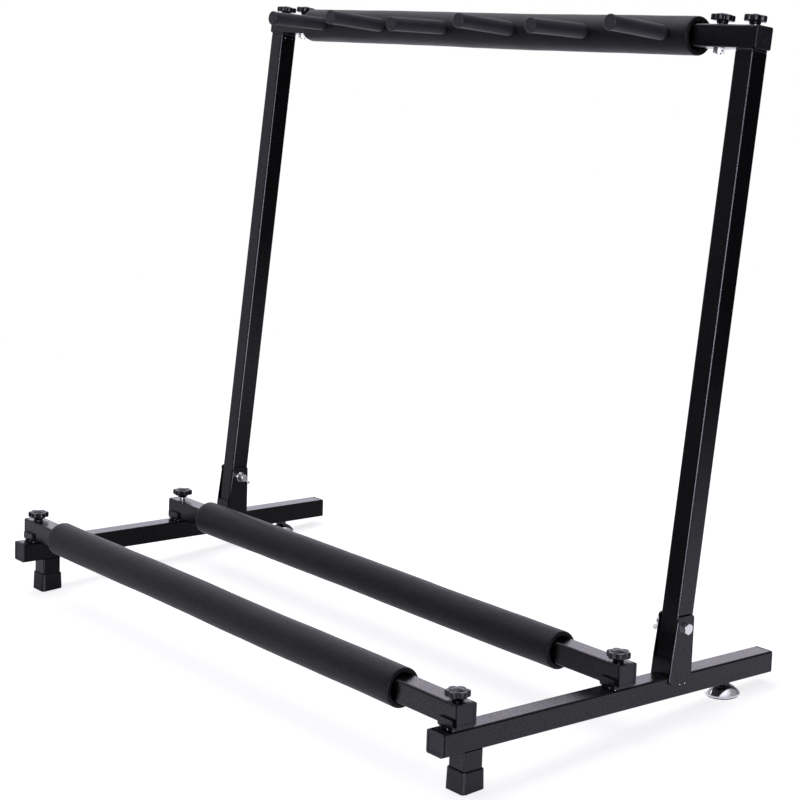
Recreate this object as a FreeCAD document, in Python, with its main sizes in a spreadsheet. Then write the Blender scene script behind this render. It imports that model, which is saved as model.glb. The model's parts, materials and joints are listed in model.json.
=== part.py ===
import FreeCAD, Part
import math
import os
from types import SimpleNamespace

import Sketcher

# A free-standing rack that holds several guitars side by side.
# Two rails carry two foam-covered bars, and two uprights that lean back carry a padded neck bar with pegs.
# Rail frame: X to the right, Y back from the rails' front ends, Z up from the rails' undersides.

Vector = FreeCAD.Vector
Placement = FreeCAD.Placement
Rotation = FreeCAD.Rotation

# Every size of the stand in millimetres or degrees: alias, value, meaning
SIZES = (
    ("tube_side", 22.0, "outer side of every square tube"),
    ("tube_wall", 1.5, "wall of every square tube"),
    ("tube_corner", 2.0, "outer corner radius of every square tube"),
    ("bar_length", 778.0, "length of the two lower bars and the neck bar"),
    ("rail_length", 428.0, "length of the two rails"),
    ("front_bar_reach", 22.0, "front bar's axis behind the rails' front ends"),
    ("rear_bar_reach", 221.3, "rear bar's axis behind the rails' front ends"),
    ("plug_flange", 3.0, "thickness of the plastic end plugs outside the tube"),
    ("plug_stud_gap", 0.7, "clearance between a bar's end plugs and the studs that pass the bar"),
    ("plug_wall", 1.6, "wall of the end plugs' hollow shanks"),
    ("plug_round", 0.6, "rounding round both faces of an end plug's flange"),
    ("plug_seam", 0.9, "width and depth of the seam between a tube's end and its plug's flange"),
    ("plug_border", 3.0, "border round the sunk panel of an end plug's face"),
    ("plug_panel", 0.4, "depth of that panel"),
    ("plug_gap", 0.15, "clearance of a plug's shank in its tube"),
    ("post_reach", 34.5, "front foot posts' axis behind the rails' front ends"),
    ("foot_height", 37.4, "rail underside to floor at the front foot posts"),
    ("cap_height", 19.4, "height of the rubber foot caps"),
    ("cap_floor", 5.0, "thickness of a foot cap's sole below its post"),
    ("cap_wall", 1.5, "wall of a foot cap at its mouth"),
    ("cap_taper", 1.4, "angle by which a foot cap's sides draw in towards its mouth"),
    ("cap_corner", 4.0, "corner radius of the foot caps"),
    ("cap_lip", 0.7, "rounding of a foot cap's mouth"),
    ("cap_gap", 0.15, "clearance of a foot post in its cap"),
    ("glide_reach", 370.5, "levelling glides' axis behind the rails' front ends"),
    ("glide_height", 14.4, "rail underside to floor at the levelling glides"),
    ("glide_diameter", 35.0, "diameter of the glides' domed discs"),
    ("glide_rim", 1.8, "height of a glide disc's upright rim"),
    ("glide_dome", 10.0, "height of a glide disc above the floor"),
    ("glide_mouth", 16.0, "diameter of the flat top of a glide disc"),
    ("glide_pad", 1.4, "thickness of the plastic pad under a glide disc"),
    ("glide_pad_inset", 1.2, "how far the pad stands in from the disc's rim"),
    ("glide_ball", 9.0, "diameter of the ball that a glide disc swivels on"),
    ("glide_neck", 5.5, "diameter of the stem just above its ball"),
    ("glide_thread", 8.0, "thread diameter of the glides' stems"),
    ("glide_collar", 13.0, "flats of the hexagon that turns a glide's stem"),
    ("glide_collar_height", 2.6, "height of that hexagon"),
    ("glide_stem_rise", 15.0, "length of a glide's stem inside its rail"),
    ("glide_nut_flats", 13.0, "flats of the nuts welded inside the rails for the glides"),
    ("glide_nut_height", 6.0, "height of those nuts"),
    ("saddle_sheet", 2.5, "sheet thickness of the U-shaped bar saddles"),
    ("saddle_length", 20.0, "length of a saddle along its bar"),
    ("saddle_rise", 7.6, "height of a saddle's flanges above the bar's underside"),
    ("saddle_bend", 1.5, "inner bend radius of a saddle"),
    ("saddle_round", 1.5, "corner radius of a saddle's flanges"),
    ("saddle_gap", 0.2, "clearance of a bar between its saddle's flanges"),
    ("pivot_reach", 297.9, "fold pivot's axis behind the rails' front ends"),
    ("pivot_height", 46.4, "fold pivot's axis above the rails' top faces"),
    ("lean", 6.24, "angle by which the uprights lean back from square to the rails"),
    ("upright_tail", 42.2, "length of an upright below its pivot"),
    ("upright_above", 551.2, "length of an upright above its pivot"),
    ("bracket_sheet", 2.0, "sheet thickness of the upright brackets"),
    ("bracket_gap", 0.3, "clearance of an upright between its bracket's plates"),
    ("bracket_width", 22.0, "width of a bracket's plates, front to back"),
    ("bracket_rise", 12.0, "height of a bracket's plates above the pivot"),
    ("bracket_overlap", 8.6, "how far a bracket's plates reach down the rail's sides"),
    ("bracket_round", 3.5, "radius of a bracket's upper corners"),
    ("bracket_toe", 6.0, "radius of a bracket's lower front corners"),
    ("strap_high", 16.5, "upper edge of a bracket's front strap above the rail"),
    ("strap_gap", 0.25, "clearance between a leaning upright and its strap"),
    ("bolt_diameter", 6.0, "thread diameter of the pivot bolts and the knob studs"),
    ("bolt_length", 36.0, "length of the pivot bolts under the head"),
    ("bolt_flats", 10.0, "flats of the pivot bolts' heads and the hexagon nuts"),
    ("bolt_head", 4.0, "height of the pivot bolts' heads"),
    ("nut_height", 5.0, "height of the hexagon nuts"),
    ("washer_diameter", 12.0, "diameter of the washers under the wing nuts"),
    ("washer_height", 1.2, "thickness of those washers"),
    ("running_gap", 0.08, "clearance round a bolt, stud or ball in a piece that turns on it"),
    ("hole_gap", 0.3, "clearance round a bolt or stud in a plain hole"),
    ("wing_hub", 11.0, "diameter of a wing nut's hub at its foot"),
    ("wing_hub_top", 9.0, "diameter of a wing nut's hub at its top"),
    ("wing_hub_height", 7.0, "height of a wing nut's hub"),
    ("wing_spread", 21.0, "span of a wing nut over both wings"),
    ("wing_rise", 9.5, "height of a wing nut's wings"),
    ("wing_thickness", 2.2, "thickness of a wing nut's wings"),
    ("left_wing_turn", 45.0, "angle at which the left wing nut stands"),
    ("right_wing_turn", 38.0, "angle at which the right wing nut stands"),
    ("knob_diameter", 23.5, "diameter of the star knobs over their lobes"),
    ("knob_lobes", 6.0, "number of lobes round a star knob"),
    ("knob_lobe", 9.0, "diameter of one lobe"),
    ("knob_valley", 2.4, "diameter of the hollows between the lobes"),
    ("knob_rim", 5.9, "height of a star knob's lobed rim"),
    ("knob_round", 1.2, "rounding of the rim's edges"),
    ("knob_cap", 13.6, "diameter of the raised cap on a star knob"),
    ("knob_cap_rise", 1.5, "rise of that cap above the rim"),
    ("knob_groove", 0.9, "width and depth of the groove round the cap"),
    ("knob_hub", 3.0, "height of a star knob's hub below the rim"),
    ("knob_hub_foot", 10.4, "diameter of that hub at its foot"),
    ("knob_hub_top", 12.0, "diameter of that hub at the rim"),
    ("knob_grip", 7.0, "length of a stud moulded into its knob"),
    ("knob_mould_gap", 0.05, "gap between a knob and the stud moulded into it"),
    ("knob_seat", 0.1, "gap under the hub of a knob that is screwed home"),
    ("front_left_slack", 0.4, "how far the front bar's left knob stands unscrewed"),
    ("front_right_slack", 0.1, "how far the front bar's right knob stands unscrewed"),
    ("rear_left_slack", 3.1, "how far the rear bar's left knob stands unscrewed"),
    ("rear_right_slack", 0.2, "how far the rear bar's right knob stands unscrewed"),
    ("neck_knob_slack", 1.0, "how far the neck bar's knobs stand unscrewed"),
    ("front_left_turn", 2.0, "angle at which the front bar's left knob stands"),
    ("front_right_turn", -6.0, "angle at which the front bar's right knob stands"),
    ("rear_left_turn", -13.0, "angle at which the rear bar's left knob stands"),
    ("rear_right_turn", 28.0, "angle at which the rear bar's right knob stands"),
    ("neck_knob_turn", 12.0, "angle at which the neck bar's knobs stand"),
    ("neck_knob_pitch", 40.5, "distance between the two knobs at each end of the neck bar"),
    ("stud_spare", 2.0, "length of a stud past its nut"),
    ("foam_diameter", 38.5, "outer diameter of the foam sleeves"),
    ("foam_bore", 30.0, "bore of the foam sleeves"),
    ("foam_round", 1.2, "rounding of the foam sleeves' ends"),
    ("front_foam_left", 67.0, "bare length of the front bar to the left of its sleeve"),
    ("front_foam_right", 86.0, "bare length of the front bar to the right of its sleeve"),
    ("rear_foam_left", 69.0, "bare length of the rear bar to the left of its sleeve"),
    ("rear_foam_right", 88.0, "bare length of the rear bar to the right of its sleeve"),
    ("neck_foam_left", 71.0, "bare length of the neck bar to the left of its sleeve"),
    ("neck_foam_right", 79.0, "bare length of the neck bar to the right of its sleeve"),
    ("peg_left", 116.5, "first peg's distance from the neck bar's left end"),
    ("peg_right", 108.5, "last peg's distance from the neck bar's right end"),
    ("peg_diameter", 15.2, "diameter of the pegs' rubber sleeves"),
    ("peg_lip", 0.5, "rise of the lip round a peg's tip"),
    ("peg_lip_length", 2.6, "length of that lip"),
    ("peg_lip_round", 1.2, "rounding of that lip"),
    ("peg_groove", 0.8, "width and depth of the groove behind that lip"),
    ("peg_dish", 0.4, "depth of the dished end of a peg"),
    ("peg_length", 75.0, "length of the pegs' rubber sleeves"),
    ("peg_round", 3.0, "rounding at the foot of a peg's sleeve"),
    ("peg_rod", 8.0, "diameter of the steel rods in the pegs"),
    ("peg_rod_tail", 4.0, "length of a rod inside the neck bar's front wall"),
    ("peg_rod_reach", 60.0, "length of a rod inside its rubber sleeve"),
    ("peg_rod_gap", 0.1, "clearance of a rod in its rubber sleeve"),
    ("peg_hole_gap", 0.45, "clearance of a rod in the neck bar's front wall"),
    ("peg_foam_gap", 1.0, "clearance of a rod in the neck bar's foam"),
    ("peg_seat", 0.3, "gap between a peg's sleeve and the foam"),
    ("peg_1_droop", 2.6, "angle by which the first peg hangs down"),
    ("peg_2_droop", 0.6, "angle by which the second peg hangs down"),
    ("peg_3_droop", 4.7, "angle by which the third peg hangs down"),
    ("peg_4_droop", 1.0, "angle by which the fourth peg hangs down"),
    ("peg_5_droop", 3.2, "angle by which the fifth peg hangs down"),
    ("peg_6_droop", 0.0, "angle by which the last peg hangs down"),
)

SHEET = "Sizes"
HEXAGON = 6
EDGE_TOLERANCE = 0.001
AXES = {"X": Vector(1, 0, 0), "Y": Vector(0, 1, 0), "Z": Vector(0, 0, 1)}
ORIGIN_POINT = (-1, 1)
START, END, CENTRE = 1, 2, 3


class Bound:
    """A number together with the spreadsheet formula that gives it."""

    def __init__(self, number, formula):
        self.number = number
        self.formula = formula

    def _join(self, other, sign, number, swap=False):
        """A new bound number from this one, another and the sign between them."""
        text = other.formula if isinstance(other, Bound) else repr(float(other))
        left, right = (text, self.formula) if swap else (self.formula, text)
        return Bound(number, f"({left} {sign} {right})")

    def __add__(self, other):
        return self._join(other, "+", self.number + plain(other))

    def __radd__(self, other):
        return self._join(other, "+", plain(other) + self.number, swap=True)

    def __sub__(self, other):
        return self._join(other, "-", self.number - plain(other))

    def __rsub__(self, other):
        return self._join(other, "-", plain(other) - self.number, swap=True)

    def __mul__(self, other):
        return self._join(other, "*", self.number * plain(other))

    def __rmul__(self, other):
        return self._join(other, "*", plain(other) * self.number, swap=True)

    def __truediv__(self, other):
        return self._join(other, "/", self.number / plain(other))

    def __neg__(self):
        return Bound(-self.number, f"(-{self.formula})")


def plain(value):
    """The number in a bound value, or a plain number as it is."""
    return value.number if isinstance(value, Bound) else float(value)


def root(value):
    """The square root of a bound number."""
    return Bound(math.sqrt(value.number), f"sqrt({value.formula})")


def fill_sheet(document):
    """Writes the sizes to the spreadsheet and returns them as bound numbers."""
    sheet = document.addObject("Spreadsheet::Sheet", SHEET)
    for row, (alias, value, meaning) in enumerate(SIZES, start=1):
        sheet.set(f"A{row}", meaning)
        sheet.set(f"B{row}", str(value))
        sheet.setAlias(f"B{row}", alias)
    document.recompute()
    return SimpleNamespace(**{alias: Bound(value, f"{SHEET}.{alias}") for alias, value, _ in SIZES})


doc = FreeCAD.newDocument("multi_guitar_stand")
S = fill_sheet(doc)
leaves = []
nodes = {}


def bind(owner, name, value):
    """Sets a property, by its formula where the value is bound to the sheet."""
    if isinstance(value, Bound):
        owner.setExpression(name, value.formula)
    else:
        setattr(owner, name, value)


def new_body(label):
    """An empty body with a label of its own."""
    body = doc.addObject("PartDesign::Body", label)
    body.Label = label
    return body


def sketch(body, role, raised=None):
    """A sketch on one of the body's own planes, raised along the plane's normal if asked."""
    made = body.newObject("Sketcher::SketchObject", f"{body.Name}_outline")
    plane = next(f for f in body.Origin.OriginFeatures if f.Role == role)
    made.AttachmentSupport = [(plane, "")]
    made.MapMode = "FlatFace"
    if raised is not None:
        made.setExpression("AttachmentOffset.Base.z", raised.formula)
    return made


def pin(drawing, geometry, point, place):
    """Fixes a point of a sketch at a place whose coordinates follow the sheet."""
    for kind, value in zip(("DistanceX", "DistanceY"), place):
        constraint = Sketcher.Constraint(kind, *ORIGIN_POINT, geometry, point, plain(value))
        row = drawing.addConstraint(constraint)
        if isinstance(value, Bound):
            drawing.setExpression(f"Constraints[{row}]", value.formula)


def bind_radius(drawing, geometry, radius):
    """Gives an arc or circle of a sketch a radius that follows the sheet."""
    row = drawing.addConstraint(Sketcher.Constraint("Radius", geometry, plain(radius)))
    if isinstance(radius, Bound):
        drawing.setExpression(f"Constraints[{row}]", radius.formula)


def arc_between(start, end, radius, leftward):
    """The short arc of a radius from start to end, turning left or right."""
    middle = (start + end) * 0.5
    chord = end - start
    height = math.sqrt(max(radius * radius - chord.Length * chord.Length / 4, 0.0))
    normal = Vector(-chord.y, chord.x, 0).normalize()
    centre = middle + normal * (height if leftward else -height)
    first, last = (start, end) if leftward else (end, start)
    angles = [math.atan2(p.y - centre.y, p.x - centre.x) for p in (first, last)]
    return Part.ArcOfCircle(Part.Circle(centre, AXES["Z"], radius), *angles)


def outline(drawing, corners):
    """A closed outline. A corner is (x, y), or (x, y, radius, leftward) where an arc leaves it."""
    spots = [Vector(plain(corner[0]), plain(corner[1]), 0) for corner in corners]
    count = len(corners)
    ends = []
    for index, corner in enumerate(corners):
        start, end = spots[index], spots[(index + 1) % count]
        if len(corner) == 2:
            number = drawing.addGeometry(Part.LineSegment(start, end), False)
            ends.append((number, START, END))
            continue
        radius, leftward = corner[2], corner[3]
        number = drawing.addGeometry(arc_between(start, end, plain(radius), leftward), False)
        ends.append((number, START, END) if leftward else (number, END, START))
    for index, (number, first, last) in enumerate(ends):
        follower, follower_first, _ = ends[(index + 1) % count]
        drawing.addConstraint(Sketcher.Constraint("Coincident", number, last, follower, follower_first))
        pin(drawing, number, first, corners[index][:2])
    for corner, (number, _, _) in zip(corners, ends):
        if len(corner) > 2:
            bind_radius(drawing, number, corner[2])
    return drawing


def rectangle(drawing, left, right, low, high):
    """A rectangle between four bounds."""
    return outline(drawing, [(left, low), (right, low), (right, high), (left, high)])


def square(drawing, side):
    """A square of a side about the sketch's origin."""
    return rectangle(drawing, -(side / 2), side / 2, -(side / 2), side / 2)


def circle(drawing, x, y, diameter):
    """A circle about a point."""
    shape = Part.Circle(Vector(plain(x), plain(y), 0), AXES["Z"], plain(diameter) / 2)
    number = drawing.addGeometry(shape, False)
    pin(drawing, number, CENTRE, (x, y))
    bind_radius(drawing, number, diameter / 2)
    return drawing


def hexagon(drawing, flats):
    """A regular hexagon about the sketch's origin, with a corner on its X axis."""
    reach = flats / math.sqrt(3)
    angles = [2 * math.pi * step / HEXAGON for step in range(HEXAGON)]
    return outline(drawing, [(reach * math.cos(a), reach * math.sin(a)) for a in angles])


def pad(body, drawing, length, symmetric=False, reverse=False, taper=0.0):
    """Extrudes a sketch, with sides that draw in where the taper is below 0."""
    made = body.newObject("PartDesign::Pad", f"{body.Name}_pad")
    made.Profile = drawing
    bind(made, "Length", length)
    bind(made, "TaperAngle", taper)
    made.SideType = "Symmetric" if symmetric else "One side"
    made.Reversed = reverse
    doc.recompute()
    return made


def pocket(body, drawing, depth=None, symmetric=False, reverse=False):
    """Cuts a sketch into a body, right through where no depth is given, and checks that it cut."""
    before = body.Shape.Volume
    made = body.newObject("PartDesign::Pocket", f"{body.Name}_pocket")
    made.Profile = drawing
    made.Type = "Length" if depth is not None else "ThroughAll"
    made.SideType = "Symmetric" if symmetric else "One side"
    made.Reversed = reverse
    if depth is not None:
        bind(made, "Length", depth)
    doc.recompute()
    if not made.Shape.Volume < before:
        raise ValueError(f"a pocket in {body.Label} cuts nothing")
    return made


def revolve(body, drawing):
    """Turns a sketch about its own vertical axis."""
    made = body.newObject("PartDesign::Revolution", f"{body.Name}_turning")
    made.Profile = drawing
    made.ReferenceAxis = (drawing, ["V_Axis"])
    doc.recompute()
    return made


def groove(body, drawing):
    """Cuts a turned sketch out of a body, and checks that it cut."""
    before = body.Shape.Volume
    made = body.newObject("PartDesign::Groove", f"{body.Name}_groove")
    made.Profile = drawing
    made.ReferenceAxis = (drawing, ["V_Axis"])
    doc.recompute()
    if not made.Shape.Volume < before:
        raise ValueError(f"a groove in {body.Label} cuts nothing")
    return made


def fillet(body, base, chosen, radius):
    """Rounds the edges of a feature that pass a test."""
    names = [f"Edge{i}" for i, edge in enumerate(base.Shape.Edges, start=1) if chosen(edge)]
    if not names:
        raise ValueError(f"{body.Label} has no such edge to round")
    made = body.newObject("PartDesign::Fillet", f"{body.Name}_round")
    made.Base = (base, names)
    bind(made, "Radius", radius)
    doc.recompute()
    return made


def runs_along(edge, axis):
    """True for a straight edge along X, Y or Z."""
    if edge.Curve.TypeId != "Part::GeomLine":
        return False
    return abs(edge.tangentAt(edge.FirstParameter).dot(AXES[axis])) > 0.999


def is_level(edge, axis, *places):
    """True for an edge that lies wholly at one of some places along an axis."""
    box = edge.BoundBox
    low, high = getattr(box, f"{axis}Min"), getattr(box, f"{axis}Max")
    return any(max(abs(low - plain(spot)), abs(high - plain(spot))) < EDGE_TOLERANCE for spot in places)


def is_ring(edge, diameter):
    """True for a round edge of a diameter."""
    round_edge = edge.Curve.TypeId == "Part::GeomCircle"
    return round_edge and abs(2 * edge.Curve.Radius - plain(diameter)) < EDGE_TOLERANCE


def turned(axis, degrees):
    """A rotation about X, Y or Z."""
    return Rotation(AXES[axis], degrees)


def place(piece, frame, spot=(0, 0, 0), rotation=None):
    """Stands a piece at a spot of a frame."""
    local = Placement(Vector(*[plain(value) for value in spot]), rotation or Rotation())
    piece.Placement = frame.multiply(local)
    leaves.append(piece)
    return piece


def node(label, *pieces):
    """Names one exported node: a single piece, or a group of equal ones."""
    if len(pieces) == 1:
        nodes[label] = pieces[0]
        return
    group = doc.addObject("Part::Compound", label)
    group.Label = label
    group.Links = list(pieces)
    nodes[label] = group


# Frames and rotations that the pieces share

FLOOR_SLOPE = (S.foot_height - S.glide_height) / (S.glide_reach - S.post_reach)
TILT = math.degrees(math.atan(plain(FLOOR_SLOPE)))
TILT_SIN = math.sin(math.radians(TILT))
TILT_COS = math.cos(math.radians(TILT))
FLOOR_DROP = plain(S.post_reach) * TILT_SIN + plain(S.foot_height) * TILT_COS

ROW = Placement()
BASE = Placement(Vector(0, 0, FLOOR_DROP), turned("X", -TILT))
PIVOT = Vector(0, plain(S.pivot_reach), plain(S.tube_side + S.pivot_height))
NECK = BASE.multiply(Placement(PIVOT, turned("X", -plain(S.lean))))

# A tube is drawn along Z, and these turn its length to the right or to the back
ALONG_X = Rotation(Vector(0, 1, 0), Vector(0, 0, 1), Vector(1, 0, 0), "ZXY")
ALONG_Y = Rotation(Vector(0, 0, 1), Vector(1, 0, 0), Vector(0, 1, 0), "ZXY")
TO_LEFT = turned("Y", -90)
TO_RIGHT = turned("Y", 90)
TO_FRONT = turned("X", 90)
TO_BACK = turned("X", -90)

STUD_INSET = S.tube_side / 2
RAIL_X = S.bar_length / 2 - STUD_INSET
BAR_AXIS = S.tube_side + S.saddle_sheet + S.tube_side / 2
BAR_TOP = BAR_AXIS + S.tube_side / 2
NECK_BAR_AXIS = S.upright_above + S.plug_flange + S.tube_side / 2
NECK_BAR_TOP = NECK_BAR_AXIS + S.tube_side / 2
NECK_BAR_LOW = NECK_BAR_AXIS - S.tube_side / 2
STUD_HOLE = S.bolt_diameter + 2 * S.hole_gap
SIDES = (("left", -1), ("right", 1))


# Square tubes and their end plugs

def square_tube(label, length):
    """A square tube along Z with rounded corners."""
    body = new_body(label)
    solid = pad(body, square(sketch(body, "XY_Plane"), S.tube_side), length)
    fillet(body, solid, lambda edge: runs_along(edge, "Z"), S.tube_corner)
    pocket(body, square(sketch(body, "XY_Plane"), S.tube_side - 2 * S.tube_wall), reverse=True)
    return body


def drill(body, axis, spots, diameter, wall=0):
    """Holes along X or Y of a tube at heights along it: through both walls, or one with wall -1 or 1."""
    drawing = sketch(body, "YZ_Plane" if axis == "X" else "XZ_Plane")
    for spot in spots:
        circle(drawing, 0, spot, diameter)
    if wall == 0:
        return pocket(body, drawing, depth=2 * S.tube_side, symmetric=True)
    forward = wall > 0 if axis == "X" else wall < 0
    return pocket(body, drawing, depth=S.tube_side, reverse=forward)


def end_plug(label, bore=None):
    """A plastic plug: a flange the size of the tube above Z 0, a seam under it and a hollow shank below."""
    body = new_body(label)
    flange = sketch(body, "XY_Plane", raised=S.plug_seam)
    solid = pad(body, square(flange, S.tube_side), S.plug_flange - S.plug_seam)
    solid = fillet(body, solid, lambda edge: runs_along(edge, "Z"), S.tube_corner)
    fillet(body, solid, lambda edge: is_level(edge, "Z", S.plug_seam, S.plug_flange), S.plug_round)
    pad(body, square(sketch(body, "XY_Plane"), S.tube_side - 2 * S.plug_seam), S.plug_flange / 2)
    shank = S.tube_side - 2 * S.tube_wall - 2 * S.plug_gap
    depth = STUD_INSET - S.bolt_diameter / 2 - S.plug_stud_gap
    pad(body, square(sketch(body, "XY_Plane"), shank), depth, reverse=True)
    hollow = sketch(body, "XY_Plane", raised=-depth)
    pocket(body, square(hollow, shank - 2 * S.plug_wall), depth=depth, reverse=True)
    if bore is None:
        panel = sketch(body, "XY_Plane", raised=S.plug_flange)
        pocket(body, square(panel, S.tube_side - 2 * S.plug_border), depth=S.plug_panel)
    else:
        pocket(body, circle(sketch(body, "XY_Plane"), 0, 0, bore), depth=2 * S.plug_flange, symmetric=True)
    return body


# Feet

def foot_cap(label):
    """A slip-on rubber foot. Z 0 is its sole at its middle, and the sole lies level on the floor."""
    body = new_body(label)
    mouth = S.tube_side + 2 * S.cap_gap + 2 * S.cap_wall
    drawn = 2 * math.tan(math.radians(plain(S.cap_taper)))
    base = sketch(body, "XY_Plane", raised=-S.cap_floor)
    rise = S.cap_height + S.cap_floor
    solid = pad(body, square(base, mouth + rise * drawn), rise, taper=-S.cap_taper)
    solid = fillet(body, solid, lambda edge: edge.BoundBox.ZLength > plain(S.cap_height), S.cap_corner)
    fillet(body, solid, lambda edge: is_level(edge, "Z", S.cap_height), S.cap_lip)
    cavity = sketch(body, "XY_Plane", raised=S.cap_height)
    pocket(body, square(cavity, S.tube_side + 2 * S.cap_gap), depth=S.cap_height - S.cap_floor)
    reach = S.tube_side
    slope = FLOOR_SLOPE * reach
    waste = [(-reach, -slope), (-reach, -reach), (reach, -reach), (reach, slope)]
    pocket(body, outline(sketch(body, "YZ_Plane"), waste), depth=3 * S.tube_side, symmetric=True)
    return body


def glide_disc(label):
    """A domed disc that stands level on its pad, with a socket for the ball of its stem."""
    body = new_body(label)
    rim = S.glide_diameter / 2
    brow = S.glide_mouth / 2
    shoulder = S.glide_pad + S.glide_rim
    socket = S.glide_ball / 2 + S.running_gap
    dome = [
        (0, S.glide_pad),
        (rim, S.glide_pad),
        (rim, shoulder, S.glide_diameter * 0.7, True),
        (brow, S.glide_dome),
        (socket, S.glide_dome),
        (socket, S.glide_pad + S.glide_rim / 2),
        (0, S.glide_pad + S.glide_rim / 2),
    ]
    revolve(body, outline(sketch(body, "XZ_Plane"), dome))
    return body


def glide_pad(label):
    """The plastic pad under a glide's disc."""
    body = new_body(label)
    width = S.glide_diameter - 2 * S.glide_pad_inset
    pad(body, circle(sketch(body, "XY_Plane"), 0, 0, width), S.glide_pad)
    return body


GLIDE_BALL_HEIGHT = S.glide_pad + S.glide_rim / 2 + S.running_gap + S.glide_ball / 2


def glide_stem(label):
    """A threaded stem with a hexagon to turn it and a ball at its foot. Z 0 is the rail's underside."""
    body = new_body(label)
    ball = S.glide_ball / 2
    neck = S.glide_neck / 2
    thread = S.glide_thread / 2
    centre = GLIDE_BALL_HEIGHT - S.glide_height
    neck_rise = math.sqrt(plain(ball) ** 2 - plain(neck) ** 2) / plain(ball)
    collar_foot = -(S.glide_collar_height + S.hole_gap)
    outer = [
        (0, centre - ball, ball, True),
        (ball, centre, ball, True),
        (neck, centre + ball * neck_rise),
        (neck, collar_foot),
        (thread, collar_foot),
        (thread, S.glide_stem_rise),
        (0, S.glide_stem_rise),
    ]
    revolve(body, outline(sketch(body, "XZ_Plane"), outer))
    collar = sketch(body, "XY_Plane", raised=collar_foot)
    pad(body, hexagon(collar, S.glide_collar), S.glide_collar_height)
    return body


# Folded sheet pieces

def saddle(label):
    """A U-shaped saddle on a rail. Z 0 is the rail's top face, and the bar lies along X."""
    body = new_body(label)
    inner = S.tube_side / 2 + S.saddle_gap
    outer = inner + S.saddle_sheet
    bend = S.saddle_bend
    wide = bend + S.saddle_sheet
    floor = S.saddle_sheet
    top = S.saddle_sheet + S.saddle_rise
    section = [
        (wide - outer, 0),
        (outer - wide, 0, wide, True),
        (outer, wide),
        (outer, top),
        (inner, top),
        (inner, floor + bend, bend, False),
        (inner - bend, floor),
        (bend - inner, floor, bend, False),
        (-inner, floor + bend),
        (-inner, top),
        (-outer, top),
        (-outer, wide, wide, True),
    ]
    solid = pad(body, outline(sketch(body, "YZ_Plane"), section), S.saddle_length, symmetric=True)

    def flange_corner(edge):
        return runs_along(edge, "Y") and is_level(edge, "Z", top)

    fillet(body, solid, flange_corner, S.saddle_round)
    pocket(body, circle(sketch(body, "XY_Plane"), 0, 0, STUD_HOLE), depth=4 * S.saddle_sheet, symmetric=True)
    return body


def upright_bracket(label):
    """A folded bracket that straddles a rail and an upright, with a front strap that leans like the upright.

    Y 0 is the pivot, Z 0 the rail's top face.
    """
    body = new_body(label)
    slope = math.tan(math.radians(plain(S.lean)))
    stretch = 1 / math.cos(math.radians(plain(S.lean)))
    strap_back = -(S.tube_side / 2 + S.strap_gap) * stretch
    strap_front = strap_back - S.bracket_sheet * stretch
    half = S.bracket_width / 2
    crown = S.pivot_height + S.bracket_rise
    foot = -S.bracket_overlap
    corner = S.bracket_round
    toe = S.bracket_toe
    room = S.bracket_width + S.tube_side

    def leaning(face, height):
        """Where a face of the strap lies at a height, from its place at the pivot's height."""
        return face - (S.pivot_height - height) * slope

    toe_front = leaning(strap_front, foot + toe)
    side = [
        (half, foot),
        (half, crown - corner, corner, True),
        (half - corner, crown),
        (corner - half, crown, corner, True),
        (-half, crown - corner),
        (leaning(strap_front, S.strap_high), S.strap_high),
        (toe_front, foot + toe, toe, True),
        (toe_front + toe, foot),
    ]
    inside = S.tube_side + 2 * S.bracket_gap
    outside = inside + 2 * S.bracket_sheet
    solid = pad(body, outline(sketch(body, "YZ_Plane"), side), outside, symmetric=True)

    def bend_edge(edge):
        ends = [vertex.Point for vertex in edge.Vertexes]
        on_front = all(abs(end.y - plain(leaning(strap_front, end.z))) < EDGE_TOLERANCE for end in ends)
        return on_front and edge.BoundBox.XLength < EDGE_TOLERANCE

    fillet(body, solid, bend_edge, S.bracket_sheet)
    low, high = foot - room, crown + room
    throat = [(leaning(strap_back, low), low), (room, low), (room, high), (leaning(strap_back, high), high)]
    pocket(body, outline(sketch(body, "YZ_Plane"), throat), depth=inside, symmetric=True)
    above_strap = rectangle(sketch(body, "YZ_Plane"), -room, room, S.strap_high, high)
    pocket(body, above_strap, depth=inside, symmetric=True)
    over_rail = rectangle(sketch(body, "YZ_Plane"), -room, room, low, 0)
    pocket(body, over_rail, depth=inside, symmetric=True)
    pivot = circle(sketch(body, "YZ_Plane"), 0, S.pivot_height, STUD_HOLE)
    pocket(body, pivot, depth=2 * outside, symmetric=True)
    return body


# Bolts, nuts, washers and knobs

def hex_bolt(label):
    """A hexagon bolt: head below Z 0, shank above it."""
    body = new_body(label)
    pad(body, hexagon(sketch(body, "XY_Plane"), S.bolt_flats), S.bolt_head, reverse=True)
    flat = S.bolt_flats / 2
    reach = S.bolt_flats * 0.7
    fall = (reach - flat) * math.tan(math.radians(30))
    crest = -S.bolt_head
    chamfer = [(flat, crest), (reach, crest), (reach, crest + fall)]
    groove(body, outline(sketch(body, "XZ_Plane"), chamfer))
    pad(body, circle(sketch(body, "XY_Plane"), 0, 0, S.bolt_diameter), S.bolt_length)
    return body


def hex_nut(label, flats, height, thread):
    """A hexagon nut that stands on Z 0."""
    body = new_body(label)
    drawing = hexagon(sketch(body, "XY_Plane"), flats)
    circle(drawing, 0, 0, thread + 2 * S.running_gap)
    pad(body, drawing, height)
    return body


def washer(label):
    """A flat washer that stands on Z 0."""
    body = new_body(label)
    drawing = circle(sketch(body, "XY_Plane"), 0, 0, S.washer_diameter)
    circle(drawing, 0, 0, STUD_HOLE)
    pad(body, drawing, S.washer_height)
    return body


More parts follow.
